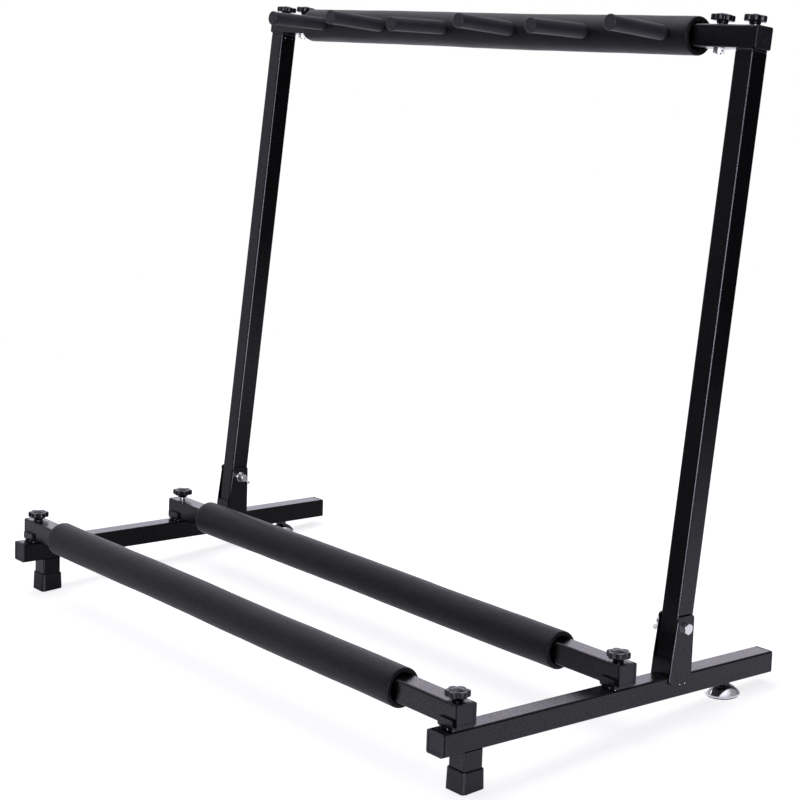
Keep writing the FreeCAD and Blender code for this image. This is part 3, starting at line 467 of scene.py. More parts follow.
FINISHES: dict[Slot, Finish] = {
    Slot.FRAME_PAINT: Finish(
        "satin_powder_coat", dark=(0.0024, 0.0021, 0.0026), pale=(0.0040, 0.0036, 0.0043), gloss=(0.20, 0.27),
        cloud_scale=22.0, fine_scale=900.0, peel_scale=620.0, pit_scale=1500.0, pit_share=0.15,
        relief=0.00016, specular=0.38, dust=0.025, glint=0.36,
    ),
    Slot.PLUG_PLASTIC: Finish(
        "plug_plastic", dark=(0.0165, 0.0163, 0.0204), pale=(0.0236, 0.0234, 0.0292), gloss=(0.36, 0.48),
        cloud_scale=60.0, fine_scale=1200.0, peel_scale=1400.0, pit_scale=2600.0, pit_share=0.3,
        relief=0.00006, dust=0.03, tint=(0.90, 0.92, 1.0),
    ),
    Slot.FOOT_RUBBER: Finish(
        "foot_rubber", dark=(0.0032, 0.0033, 0.0042), pale=(0.0052, 0.0054, 0.0067), gloss=(0.42, 0.54),
        cloud_scale=70.0, fine_scale=1100.0, peel_scale=900.0, pit_scale=1800.0, pit_share=0.35,
        relief=0.00008, dust=0.05, tint=(0.90, 0.93, 1.0),
    ),
    Slot.FOAM: Finish(
        "closed_cell_foam", dark=(0.0010, 0.0008, 0.0011), pale=(0.0074, 0.0066, 0.0078), gloss=(0.40, 0.52),
        cloud_scale=26.0, fine_scale=700.0, peel_scale=420.0, pit_scale=820.0, pit_share=0.55,
        relief=0.00045, specular=0.19, sheen=0.15, dust=0.05, dust_speck_scale=190.0, dust_smear_scale=14.0,
        fine_share=0.75, tint=(0.96, 0.91, 1.0), glint=0.12, glint_gloss=0.40,
    ),
    Slot.PEG_RUBBER: Finish(
        "peg_rubber", dark=(0.0320, 0.0312, 0.0362), pale=(0.0460, 0.0450, 0.0520), gloss=(0.44, 0.56),
        cloud_scale=60.0, fine_scale=1300.0, peel_scale=800.0, pit_scale=1700.0, pit_share=0.3,
        relief=0.00009, dust=0.05,
    ),
    Slot.ZINC_STEEL: Finish(
        "bright_zinc", dark=(0.91, 0.915, 0.91), pale=(0.97, 0.975, 0.97), gloss=(0.22, 0.36),
        cloud_scale=160.0, fine_scale=1600.0, peel_scale=900.0, pit_scale=1500.0, pit_share=0.3,
        relief=0.00003, metallic=1.0, stretch=(1.0, 1.0, 4.0), tint=WHITE,
    ),
    Slot.BLACK_STEEL: Finish(
        "black_oxide", dark=(0.008, 0.008, 0.009), pale=(0.014, 0.014, 0.015), gloss=(0.3, 0.42),
        cloud_scale=120.0, fine_scale=1500.0, peel_scale=900.0, pit_scale=1700.0, pit_share=0.3,
        relief=0.00003,
    ),
    Slot.GLIDE_CHROME: Finish(
        "polished_chrome", dark=(0.86, 0.865, 0.86), pale=(0.93, 0.935, 0.93), gloss=(0.05, 0.11),
        cloud_scale=90.0, fine_scale=1200.0, peel_scale=260.0, pit_scale=900.0, pit_share=0.1,
        relief=0.00001, metallic=1.0, tint=WHITE,
    ),
    Slot.GLIDE_PLASTIC: Finish(
        "glide_pad_plastic", dark=(0.010, 0.010, 0.011), pale=(0.016, 0.016, 0.017), gloss=(0.45, 0.55),
        cloud_scale=80.0, fine_scale=1200.0, peel_scale=1200.0, pit_scale=2400.0, pit_share=0.3,
        relief=0.00005,
    ),
    Slot.KNOB_PLASTIC: Finish(
        "knob_plastic", dark=(0.0040, 0.0040, 0.0048), pale=(0.0065, 0.0065, 0.0078), gloss=(0.26, 0.36),
        cloud_scale=110.0, fine_scale=1500.0, peel_scale=1300.0, pit_scale=2400.0, pit_share=0.35,
        relief=0.00006, dust=0.04, tint=(0.92, 0.93, 1.0),
    ),
}


class Finishes:
    """Builds every finish once and dresses the CAD nodes with them."""

    def __init__(self) -> None:
        """Makes the shared groups and all the materials."""
        groups = ShaderGroups()
        self.materials = {slot: finish.build(groups) for slot, finish in FINISHES.items()}

    def dress_nodes(self, frame: Frame) -> None:
        """Gives each CAD node the finish of its slot in the record.

        Args:
            frame: the loaded frame.
        """
        for row in frame["record"]["subparts"]:
            piece = frame["nodes"][row["node"]]
            material = self.materials[Slot(row["material_slot"])]
            if not piece.material_slots:
                piece.data.materials.append(material)
            for place in piece.material_slots:
                place.material = material


# Mesh helpers

def add_piece(
    name: str, mesh: bpy.types.Mesh, material: bpy.types.Material, body: str, slot: Slot,
) -> bpy.types.Object:
    """Links a finished mesh as a piece of the stand.

    Args:
        name: the piece's name.
        mesh: its mesh, in the stand's own frame.
        material: its finish.
        body: the CAD body that it rides on.
        slot: the record's slot of its finish; not used.

    Returns:
        The new object.
    """
    mesh.name = name
    mesh.materials.clear()
    mesh.materials.append(material)
    for face in mesh.polygons:
        face.material_index = 0
        face.use_smooth = True
    piece = bpy.data.objects.new(name, mesh)
    bpy.context.scene.collection.objects.link(piece)
    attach(piece, body)
    LOG.info("%s: %d faces on %s", name, len(mesh.polygons), body)
    return piece


def run_tree(tree: bpy.types.NodeTree, base: bpy.types.Mesh, values: Inputs) -> bpy.types.Mesh:
    """Runs a Geometry Nodes tree on a mesh.

    Args:
        tree: the tree, which ends in realised geometry.
        base: the mesh that enters it.
        values: the tree's inputs by name.

    Returns:
        The result as a plain mesh.
    """
    carrier = bpy.data.objects.new(f"{tree.name}_carrier", base)
    bpy.context.scene.collection.objects.link(carrier)
    modifier = carrier.modifiers.new(tree.name, "NODES")
    modifier.node_group = tree
    for item in tree.interface.items_tree:
        if item.in_out == "INPUT" and item.name in values:
            modifier[item.identifier] = values[item.name]
    carrier.update_tag()
    evaluated = carrier.evaluated_get(bpy.context.evaluated_depsgraph_get())
    mesh = bpy.data.meshes.new_from_object(evaluated)
    carrier.modifiers.remove(modifier)
    bpy.data.objects.remove(carrier)
    return mesh


def closed_grid(rows: int, columns: int) -> list[tuple[int, int, int, int]]:
    """The faces of a grid of points that closes on itself both ways.

    Args:
        rows: how many rows of points there are.
        columns: how many points a row has.

    Returns:
        The four points of each face.
    """
    faces = []
    for row in range(rows):
        following = (row + 1) % rows
        for column in range(columns):
            beside = (column + 1) % columns
            faces.append((
                row * columns + column, following * columns + column,
                following * columns + beside, row * columns + beside,
            ))
    return faces


@dataclass(frozen=True)
class Axes:
    """A flat place on the stand: a point and the directions right, back and up there."""

    origin: Vector
    up: Vector

    @property
    def right(self) -> Vector:
        """Along the bars, to the stand's right."""
        return Vector((1.0, 0.0, 0.0))

    @property
    def back(self) -> Vector:
        """Square to right and up."""
        return self.up.cross(self.right)

    def at(self, right: float, back: float, up: float) -> Vector:
        """The point at these distances from the origin."""
        return self.origin + self.right * right + self.back * back + self.up * up


def joint_axes(frame: Frame, name: str) -> Axes:
    """The place of a joint, with up along its axis."""
    joint = next(j for j in frame["joints"] if j["name"] == name)
    return Axes(Vector(joint["pos_m"]), Vector(joint["axis"]).normalized())


def axis_span(piece: bpy.types.Object, axes: Axes) -> tuple[float, float]:
    """The lowest and highest place of a CAD node along an axis, from its origin."""
    places = [(vertex.co - axes.origin).dot(axes.up) for vertex in piece.data.vertices]
    return min(places), max(places)


# Foam sleeves

@dataclass
class FoamSleeve:
    """A closed-cell foam sleeve on a square bar, a little uneven along its length.

    Attributes:
        name, node, body: the sleeve's name, the CAD node that it replaces and the body that it rides on.
        seed: the seed of its waves.
        bore, edge: the bore's diameter and the radius of the outer edges.
        ring_step, sides, corner_steps, bore_rings: how finely the mesh is divided.
        wave, wave_lengths, wave_spread: the height of the skin's waves, their lengths and how they vary.
        wave_sink: how far the skin is drawn in, as a share of the wave.
        bow, bow_length, bow_sideways, bow_sink: how the sleeve bends up, sideways and down.
        mouth_share, mouth_bend, mouth_swell: the round of the bore's mouth, and how it follows the waves.
        waves: the waves that were drawn.
    """

    name: str
    node: str
    body: str
    seed: int
    bore: float = 30.0 * MM
    edge: float = 1.6 * MM
    ring_step: float = 5.0 * MM
    sides: int = 72
    wave: float = 0.28 * MM
    wave_lengths: tuple[float, ...] = (0.31, 0.173, 0.094, 0.052)
    wave_spread: tuple[float, float] = (0.6, 1.0)
    wave_sink: float = 0.4
    bow: float = 0.55 * MM
    bow_length: float = 0.43
    bow_sideways: float = 0.5
    bow_sink: float = 0.4
    corner_steps: int = 5
    mouth_share: float = 0.6
    mouth_bend: float = 0.15
    mouth_swell: tuple[float, float, float] = (0.3, 0.5, 0.7)
    bore_rings: int = 24
    waves: list[tuple[float, float, float, float]] = field(default_factory=list)

    def build(self, material: bpy.types.Material) -> bpy.types.Object:
        """Makes the sleeve in the place of its CAD solid.

        Args:
            material: the foam's finish.

        Returns:
            The sleeve as a piece of its own.
        """
        low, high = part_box(self.node)
        self._draw_waves()
        mesh = self._mesh(low, high)
        piece = add_piece(self.name, mesh, material, self.body, Slot.FOAM)
        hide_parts(self.node)
        return piece

    def _draw_waves(self) -> None:
        """Draws the lengths and phases of the sleeve's slow waves."""
        draw = random.Random(self.seed)
        for length in self.wave_lengths:
            phase = draw.uniform(0, TURN)
            lean = draw.uniform(0, TURN)
            self.waves.append((length, phase, lean, draw.uniform(*self.wave_spread)))

    def _swell(self, along: float, angle: float) -> float:
        """How far the skin stands in or out at a place of the sleeve.

        Args:
            along: the place along the sleeve.
            angle: the place round it.

        Returns:
            The distance, above zero where the skin stands out.
        """
        total = 0.0
        for order, (length, phase, lean, size) in enumerate(self.waves, start=1):
            total += size / order * math.sin(TURN * along / length + phase) * math.cos(order * angle + lean)
        return self.wave * total - self.wave_sink * self.wave

    def _profile(self, length: float, radius: float) -> list[tuple[float, float, float]]:
        """The sleeve's section from bore to skin and back.

        Args:
            length: the sleeve's length.
            radius: its outer radius.

        Returns:
            For each row of points, its place along the sleeve, its radius and its share of the swell.
        """
        bore = self.bore / 2
        edge = self.edge
        mouth = edge * self.mouth_share
        bend = mouth * self.mouth_bend
        inner, middle, outer = self.mouth_swell
        end = [(mouth, bore, inner), (bend, bore + bend, middle), (0.0, bore + mouth, outer)]
        for step in range(self.corner_steps + 1):
            angle = HALF - QUARTER * step / self.corner_steps
            end.append((edge + edge * math.cos(angle), radius - edge + edge * math.sin(angle), 1.0))
        rows = list(end)
        straight = length - 2 * edge
        count = max(2, round(straight / self.ring_step))
        rows.extend((edge + straight * step / count, radius, 1.0) for step in range(1, count))
        rows.extend((length - along, away, share) for along, away, share in reversed(end))
        inside = length - 2 * mouth
        for step in range(1, self.bore_rings):
            rows.append((length - mouth - inside * step / self.bore_rings, bore, 0.0))
        return rows

    def _mesh(self, low: Vector, high: Vector) -> bpy.types.Mesh:
        """The closed tube in its CAD solid's box.

        Args:
            low, high: the box's corners.

        Returns:
            The sleeve's mesh.
        """
        centre = (low + high) / 2
        length = high.x - low.x
        radius = (high.z - low.z) / 2
        rows = self._profile(length, radius)
        points: list[Vector] = []
        for along, away, share in rows:
            sag = math.sin(math.pi * along / length)
            drift = self.bow * sag * math.sin(TURN * along / self.bow_length + self.seed)
            for side in range(self.sides):
                angle = TURN * side / self.sides
                reach = away + share * self._swell(along, angle)
                points.append(Vector((
                    low.x + along,
                    centre.y + reach * math.cos(angle) + drift * self.bow_sideways,
                    centre.z + reach * math.sin(angle) + drift - self.bow * self.bow_sink * sag,
                )))
        faces = [tuple(reversed(face)) for face in closed_grid(len(rows), self.sides)]
        mesh = bpy.data.meshes.new(self.name)
        mesh.from_pydata(points, [], faces)
        mesh.update()
        return mesh


# Weld beads and other small marks

@dataclass
class WeldBeads:
    """The painted weld beads of the saddles, the bare spots beside them and the uprights' crimps.

    Attributes:
        bead_width, bead_step: the width of a bead's drops and the distance from one to the next.
        saddle_drop, saddle_half, saddle_run: where the beads lie under a knob's seat, and half their length.
        plate_offset, plate_drop, plate_spots: where the spots lie on a bracket's plates.
        pivot_rise: the pivot's height above the rail's top.
        spot_width, spot_run: the size of a spot.
        saddle_spots, spot_ahead, spot_lift: where the spots lie in front of a saddle's bead.
        crimp_drop, crimp_half, tube_half: where the crimps lie under an upright's top.
        drop_spread, drop_segments, drop_rings: how the drops vary in size, and how finely they are divided.
        seed: the seed of their sizes.
    """

    bead_width: float = 2.6 * MM
    bead_step: float = 1.15 * MM
    saddle_drop: float = 24.5 * MM
    saddle_half: float = 10.6 * MM
    saddle_run: float = 7.0 * MM
    plate_offset: float = 13.2 * MM
    plate_drop: float = 8.6 * MM
    plate_spots: tuple[float, float] = (-4.6 * MM, 2.4 * MM)
    pivot_rise: float = 46.4 * MM
    spot_width: float = 0.95 * MM
    spot_run: float = 0.7 * MM
    saddle_spots: tuple[float, ...] = (-9.6 * MM, 1.2 * MM, 8.8 * MM)
    crimp_drop: float = 2.6 * MM
    crimp_half: float = 5.2 * MM
    tube_half: float = 11.0 * MM
    spot_ahead: float = 0.4
    spot_lift: float = 0.2
    drop_spread: tuple[float, float] = (0.8, 1.15)
    drop_segments: int = 12
    drop_rings: int = 8
    seed: int = 7

    def build(self, frame: Frame, paint: bpy.types.Material, bare: bpy.types.Material) -> None:
        """Lays the beads and the bare spots.

        Args:
            frame: the loaded frame.
            paint: the finish of the painted beads.
            bare: the finish of the spots that shine through the paint.
        """
        beads = self._rows(list(self._saddle_paths(frame)), self.bead_width, paint)
        add_piece("weld_beads", beads, paint, "base", Slot.FRAME_PAINT)
        spots = self._rows(list(self._bare_spots(frame)), self.spot_width, bare)
        add_piece("weld_spots", spots, bare, "base", Slot.ZINC_STEEL)
        crimps = self._rows(list(self._crimps(frame)), self.spot_width, bare)
        add_piece("upright_crimps", crimps, bare, "neck_frame", Slot.ZINC_STEEL)

    def _rows(
        self, paths: Sequence[tuple[Vector, Vector]], width: float, material: bpy.types.Material,
    ) -> bpy.types.Mesh:
        """Rows of drops along straight paths, as one mesh.

        Args:
            paths: each row's two ends.
            width: the drops' width.
            material: their finish.

        Returns:
            The mesh of all the rows.
        """
        base = bpy.data.meshes.new("bead_paths")
        points = [point for path in paths for point in path]
        base.from_pydata(points, [(2 * i, 2 * i + 1) for i in range(len(paths))], [])
        return run_tree(self._tree(), base, {
            "Bead Width": width, "Bead Step": self.bead_step, "Seed": self.seed, "Material": material,
        })

    def _saddle_paths(self, frame: Frame) -> Iterable[tuple[Vector, Vector]]:
        """Two short beads under the bends of each saddle.

        Args:
            frame: the loaded frame.

        Yields:
            Each bead's two ends.
        """
        for name in LOWER_KNOBS:
            spot = joint_axes(frame, f"{name}_knob_turn")
            for edge in (-self.saddle_half, self.saddle_half):
                start = spot.at(-self.saddle_run, edge, -self.saddle_drop)
                yield (start, spot.at(self.saddle_run, edge, -self.saddle_drop))

    def _bare_spots(self, frame: Frame) -> Iterable[tuple[Vector, Vector]]:
        """Spots in front of each saddle's bend and at the lower edge of each bracket plate.

        Args:
            frame: the loaded frame.

        Yields:
            Each spot's two ends.
        """
        for name in LOWER_KNOBS:
            spot = joint_axes(frame, f"{name}_knob_turn")
            front = -self.saddle_half - self.spot_ahead * self.bead_width
            height = self.spot_lift * self.bead_width - self.saddle_drop
            for right in self.saddle_spots:
                start = spot.at(right, front, height)
                yield (start, start + spot.right * self.spot_run)
        up = joint_axes(frame, "front_left_knob_turn").up
        joint = joint_axes(frame, "frame_fold")
        for side in SIDES:
            low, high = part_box(f"{side}_rail")
            pivot = Axes(Vector(((low.x + high.x) / 2, joint.origin.y, joint.origin.z)), up)
            for offset in (-self.plate_offset, self.plate_offset):
                for back in self.plate_spots:
                    start = pivot.at(offset, back, -self.pivot_rise - self.plate_drop)
                    yield (start, start + pivot.back * self.spot_run)

    def _crimps(self, frame: Frame) -> Iterable[tuple[Vector, Vector]]:
        """Two small dimples on each upright's inner face, which hold the nut in its top.

        Args:
            frame: the loaded frame.

        Yields:
            Each dimple's two ends.
        """
        for side, inward in zip(SIDES, (1.0, -1.0)):
            axes = joint_axes(frame, f"neck_{side}_outer_knob_turn")
            _, top = axis_span(frame["nodes"][f"{side}_upright"], axes)
            for back in (-self.crimp_half, self.crimp_half):
                start = axes.at(inward * self.tube_half, back, top - self.crimp_drop)
                yield (start, start - axes.up * self.spot_run)

    def _tree(self) -> bpy.types.NodeTree:
        """Rows of overlapping drops along each edge of the entering mesh, made once.

        Returns:
            The tree.
        """
        made = bpy.data.node_groups.get("weld_bead_rows")
        if made is not None:
            return made
        inputs = (("Geometry", Socket.GEOMETRY), ("Bead Width", Socket.NUMBER), ("Bead Step", Socket.NUMBER),
                  ("Seed", Socket.WHOLE), ("Material", Socket.MATERIAL))
        tree, graph, enter, leave = new_group("weld_bead_rows", "GeometryNodeTree", inputs,
                                              (("Geometry", Socket.GEOMETRY),))
        curve = graph.add("GeometryNodeMeshToCurve", {"Mesh": enter.outputs["Geometry"]})
        dotted = graph.add("GeometryNodeResampleCurve", {
            "Curve": curve.outputs["Curve"], "Length": enter.outputs["Bead Step"],
        }, mode="LENGTH")
        drop = graph.add("GeometryNodeMeshUVSphere", {
            "Segments": self.drop_segments, "Rings": self.drop_rings, "Radius": 0.5,
        })
        spread = graph.add("FunctionNodeRandomValue", {"Seed": enter.outputs["Seed"]}, data_type="FLOAT")
        low, high = [socket for socket in spread.inputs if socket.enabled][:2]
        low.default_value, high.default_value = self.drop_spread
        size = graph.math("MULTIPLY", spread.outputs[1], enter.outputs["Bead Width"])
        placed = graph.add("GeometryNodeInstanceOnPoints", {
            "Points": dotted.outputs["Curve"], "Instance": drop.outputs["Mesh"], "Scale": size,
        })
        whole = graph.add("GeometryNodeRealizeInstances", {"Geometry": placed.outputs["Instances"]})
        dressed = graph.add("GeometryNodeSetMaterial", {
            "Geometry": whole.outputs["Geometry"], "Material": enter.outputs["Material"],
        })
        graph.feed(leave.inputs["Geometry"], dressed.outputs["Geometry"])
        return tree


@dataclass
class MouldRing:
    """The low ring that the mould leaves on the outer faces of the neck bar's plugs.

    Attributes:
        radius, ridge: the ring's radius and that of its ridge.
        back, down: the ring's place from the outer knob's seat.
        steps, ridge_steps: how finely the mesh is divided.
    """

    radius: float = 2.5 * MM
    ridge: float = 0.5 * MM
    back: float = 3.4 * MM
    down: float = 14.5 * MM
    steps: int = 36
    ridge_steps: int = 8

    def build(self, frame: Frame, material: bpy.types.Material) -> None:
        """Adds a ring to each end of the neck bar.

        Args:
            frame: the loaded frame.
            material: the plugs' finish.
        """
        axes = joint_axes(frame, "neck_right_outer_knob_turn")
        low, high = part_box("neck_bar_plugs")
        for side, face in zip(SIDES, (low.x, high.x)):
            end = Axes(Vector((face, axes.origin.y, axes.origin.z)), axes.up)
            mesh = self._mesh(end.at(0.0, self.back, -self.down), axes)
            add_piece(f"neck_{side}_mould_ring", mesh, material, "neck_frame", Slot.PLUG_PLASTIC)

    def _mesh(self, middle: Vector, axes: Axes) -> bpy.types.Mesh:
        """A closed ring about the bar's direction.

        Args:
            middle: the ring's middle.
            axes: the directions there.

        Returns:
            The ring's mesh.
        """
        points = []
        for step in range(self.steps):
            angle = TURN * step / self.steps
            spoke = axes.back * math.cos(angle) + axes.up * math.sin(angle)
            for turn in range(self.ridge_steps):
                tilt = TURN * turn / self.ridge_steps
                reach = self.radius + self.ridge * math.cos(tilt)
                points.append(middle + spoke * reach + axes.right * self.ridge * math.sin(tilt))
        mesh = bpy.data.meshes.new("mould_ring")
        mesh.from_pydata(points, [], closed_grid(self.steps, self.ridge_steps))
        mesh.update()
        return mesh


# Screw threads

@dataclass
class ScrewThread:
    """A rolled thread on the bare end of a stud or bolt.

    Attributes:
        radius, pitch, ridge: the screw's radius, the thread's pitch and the radius of its ridge.
        turn_steps, ridge_steps: how finely a turn and the ridge are divided.
    """

    radius: float = 3.0 * MM
    pitch: float = 1.0 * MM
    ridge: float = 0.28 * MM
    turn_steps: int = 28
    ridge_steps: int = 6

    def build(
        self, name: str, start: Vector, along: Vector, length: float, material: bpy.types.Material, body: str,
    ) -> bpy.types.Object:
        """Winds the thread.

        Args:
            name: the piece's name.
            start: where the thread begins, on the screw's axis.
            along: the direction in which it runs.
            length: how far it runs.
            material: the screw's finish.
            body: the CAD body that carries the screw.

        Returns:
            The thread as a piece of its own.
        """
        mesh = run_tree(self._tree(), bpy.data.meshes.new("thread_start"), {
            "Radius": self.radius, "Length": length, "Turns": length / self.pitch, "Ridge": self.ridge,
            "Material": material,
        })
        turn = Vector((0.0, 0.0, 1.0)).rotation_difference(along).to_matrix().to_4x4()
        mesh.transform(Matrix.Translation(start) @ turn)
        return add_piece(name, mesh, material, body, Slot.ZINC_STEEL)

    def _tree(self) -> bpy.types.NodeTree:
        """A ridge wound on a helix about Z, made once.

        Returns:
            The tree.
        """
        made = bpy.data.node_groups.get("wound_thread")
        if made is not None:
            return made
        inputs = (("Geometry", Socket.GEOMETRY), ("Radius", Socket.NUMBER), ("Length", Socket.NUMBER),
                  ("Turns", Socket.NUMBER), ("Ridge", Socket.NUMBER), ("Material", Socket.MATERIAL))
        tree, graph, enter, leave = new_group("wound_thread", "GeometryNodeTree", inputs,
                                              (("Geometry", Socket.GEOMETRY),))
        helix = graph.add("GeometryNodeCurveSpiral", {
            "Resolution": self.turn_steps, "Rotations": enter.outputs["Turns"],
            "Start Radius": enter.outputs["Radius"], "End Radius": enter.outputs["Radius"],
            "Height": enter.outputs["Length"],
        })
        section = graph.add("GeometryNodeCurvePrimitiveCircle", {
            "Resolution": self.ridge_steps, "Radius": enter.outputs["Ridge"],
        })
        ridge = graph.add("GeometryNodeCurveToMesh", {
            "Curve": helix.outputs["Curve"], "Profile Curve": section.outputs["Curve"], "Fill Caps": True,
        })
        whole = graph.add("GeometryNodeRealizeInstances", {"Geometry": ridge.outputs["Mesh"]})
        dressed = graph.add("GeometryNodeSetMaterial", {
            "Geometry": whole.outputs["Geometry"], "Material": enter.outputs["Material"],
        })
        graph.feed(leave.inputs["Geometry"], dressed.outputs["Geometry"])
        return tree


# Studio

@dataclass(frozen=True)
class Glow:
    """A soft patch of light that reflections see.

    Attributes:
        way: its level direction.
        edge, core: how nearly a reflection faces it where it begins and where it is brightest.
        strength: how bright it is.
        foot, top: the heights where it begins and ends.
    """

    way: tuple[float, float]
    edge: float
    core: float
    strength: float
    foot: float = -1.0
    top: float = 0.60


@dataclass
class Studio:
    """A white table in a dim room: bright backdrop behind the stand, soft patches round it, soft light above.

    Attributes:
        floor_size: the floor's width.
        floor_near, floor_far: where the floor begins and ends to fade, from the middle.
        floor_grey, floor_glow: how the floor takes light, and how much it shines for the camera.
        paper_way, paper_dark, paper_bright: where reflections see the floor grow into bright paper.
        sheen: how bright that paper is beside and before the stand, a painted pool of light on the floor in
            reflections that is left out under the stand as painted shadow.
        open_right, open_front: where the floor beside and before the stand begins.
        camera_way, camera_edge: the floor's edge on the camera's side.
        stand_shadow_share: how far reflections see through the floor under the stand, a painted shadow of the
            stand on the floor.
        room, ceiling, zenith: how bright reflections see the room at the horizon, above it and overhead.
        ceiling_span, zenith_span: the heights over which the last two begin.
        ambient: how bright soft light sees the room.
        foot_fade: the height over which a glow begins.
        lamp_place, lamp_target, lamp_size, lamp_watts: the soft lamp above the stand.
        tint: the colour of the room's light.
        glows: the bright patches.
    """

    floor_size: float = 14.0
    floor_grey: tuple[float, float, float, float] = (0.86, 0.86, 0.86, 1.0)
    floor_glow: float = 0.72
    floor_near: float = 0.85
    floor_far: float = 1.55
    paper_way: tuple[float, float, float] = (0.6, 0.8, 0.0)
    paper_dark: float = -0.75
    paper_bright: float = -0.15
    sheen: float = 0.42
    open_right: tuple[float, float] = (0.12, 0.36)
    open_front: tuple[float, float] = (-0.22, -0.34)
    camera_way: tuple[float, float, float] = (0.79, -0.61, 0.0)
    camera_edge: tuple[float, float] = (0.58, 0.82)
    stand_shadow_share: float = 0.45
    room: float = 0.03
    ceiling: float = 0.32
    zenith: float = 0.75
    ambient: float = 0.30
    foot_fade: float = 0.10
    ceiling_span: tuple[float, float] = (0.10, 0.60)
    zenith_span: tuple[float, float] = (0.78, 0.95)
    lamp_place: tuple[float, float, float] = (-0.9, 0.05, 2.3)
    lamp_target: tuple[float, float, float] = (0.0, 0.0, 0.3)
    lamp_size: tuple[float, float] = (2.0, 1.6)
    lamp_watts: float = 17.0
    tint: tuple[float, float, float, float] = (0.985, 0.945, 1.08, 1.0)
    glows: tuple[Glow, ...] = (
        Glow((-0.79, 0.61), 0.60, 0.92, 1.36),
        Glow((-0.92, -0.39), 0.93, 0.985, 0.55),
        Glow((0.79, -0.61), 0.90, 0.985, 13.0, foot=-0.14, top=0.16),
        Glow((0.79, -0.61), 0.70, 0.96, 1.5, foot=-0.06),
    )

    def build(self) -> None:
        """Sets the floor, the world and the lamp."""
        scene = bpy.context.scene
        scene.view_settings.view_transform = "Standard"
        self._world(scene)
        self._floor()
        self._lamp("top_softbox")
        LOG.info("studio: floor, world and lamp")

    def _world(self, scene: bpy.types.Scene) -> None:
        """White to the camera. In reflections, a dim room with bright patches at the stand's height.

        Args:
            scene: the scene that gets the world.
        """
        world = bpy.data.worlds.new("studio_world")
        scene.world = world
        world.use_nodes = True
        tree = world.node_tree
        tree.nodes.clear()
        graph = Graph(tree)
        way = graph.add("ShaderNodeTexCoord").outputs["Generated"]
        height = graph.add("ShaderNodeSeparateXYZ", {"Vector": way}).outputs["Z"]
        level = graph.add("ShaderNodeVectorMath", {0: way, 1: LEVEL_PART}, operation="MULTIPLY").outputs[0]
        flat = graph.add("ShaderNodeVectorMath", {0: level}, operation="NORMALIZE").outputs[0]
        sweep = graph.math("ADD", graph.ramp(height, *self.ceiling_span, self.room, self.ceiling),
                           graph.ramp(height, *self.zenith_span, 0.0, self.zenith))
        for glow in self.glows:
            facing = self._along(graph, flat, (*glow.way, 0.0))
            patch = graph.ramp(facing, glow.edge, glow.core, 0.0, glow.strength)
            above = graph.ramp(height, glow.foot, glow.foot + self.foot_fade, 0.0, 1.0)
            below = graph.ramp(height, glow.top / 2, glow.top, 1.0, 0.0)
            band = graph.math("MULTIPLY", below, above)
            sweep = graph.math("ADD", sweep, graph.math("MULTIPLY", patch, band))
        path = graph.add("ShaderNodeLightPath")
        seen = graph.math("MAXIMUM", path.outputs["Is Camera Ray"], path.outputs["Is Transmission Ray"])
        mirrored = graph.math("MULTIPLY", path.outputs["Is Glossy Ray"], sweep)
        soft = graph.math("SUBTRACT", 1.0, graph.math("MAXIMUM", seen, path.outputs["Is Glossy Ray"]))
        around = graph.math("MULTIPLY", soft, self.ambient)
        strength = graph.math("ADD", seen, graph.math("ADD", mirrored, around))
        colour = graph.blend(seen, self.tint, PLAIN_WHITE)
        light = graph.add("ShaderNodeBackground", {"Color": colour, "Strength": strength})
        graph.add("ShaderNodeOutputWorld", {"Surface": light.outputs[0]})

    def _floor(self) -> None:
        """A wide white floor that keeps the stand's shadow, and that reflections see only near the stand."""
        half = self.floor_size / 2
        mesh = bpy.data.meshes.new("floor")
        corners = [(-half, -half, 0), (half, -half, 0), (half, half, 0), (-half, half, 0)]
        mesh.from_pydata(corners, [], [(0, 1, 2, 3)])
        mesh.materials.append(self._floor_material())
        floor = bpy.data.objects.new("floor", mesh)
        bpy.context.scene.collection.objects.link(floor)

    def _floor_material(self) -> bpy.types.Material:
        """White to the camera, plain to soft light, and bright paper with open edges to reflections. The
        paper's glow is painted light that stops short of the stand, which leaves a painted shadow under it.

        Returns:
            The floor's material.
        """
        material, graph = empty_material("white_floor")
        where = graph.add("ShaderNodeNewGeometry").outputs["Position"]
        reach = graph.add("ShaderNodeVectorMath", {0: where}, operation="LENGTH").outputs["Value"]
        fade = graph.ramp(reach, self.floor_near, self.floor_far, 0.0, 1.0)
        part = graph.add("ShaderNodeSeparateXYZ", {"Vector": where}).outputs
        bare = self._bare_floor(graph, where, part, fade)
        # Painted light: in reflections the paper glows only beside and before the stand, so the floor under
        # the stand reads as its shadow.
        beside = graph.ramp(part["X"], *self.open_right, 0.0, self.sheen)
        before = graph.ramp(part["Y"], *self.open_front, 0.0, self.sheen)
        path = graph.add("ShaderNodeLightPath")
        lit = graph.add("ShaderNodeBsdfDiffuse", {"Color": self.floor_grey}).outputs[0]
        glow = self._shine(graph, PLAIN_WHITE, self.floor_glow)
        white = self._shine(graph, PLAIN_WHITE, 1.0)
        paper = self._shine(graph, self.tint, graph.math("MAXIMUM", beside, before))
        clear = graph.add("ShaderNodeBsdfTransparent").outputs[0]
        open_floor = graph.add("ShaderNodeAddShader", {0: lit, 1: paper}).outputs[0]
        near = graph.add("ShaderNodeAddShader", {0: lit, 1: glow}).outputs[0]
        shown = self._mix(graph, fade, near, white)
        mirrored = self._mix(graph, bare, open_floor, clear)
        glossy = self._mix(graph, path.outputs["Is Glossy Ray"], lit, mirrored)
        surface = self._mix(graph, path.outputs["Is Camera Ray"], glossy, shown)
        graph.add("ShaderNodeOutputMaterial", {"Surface": surface})
        return material

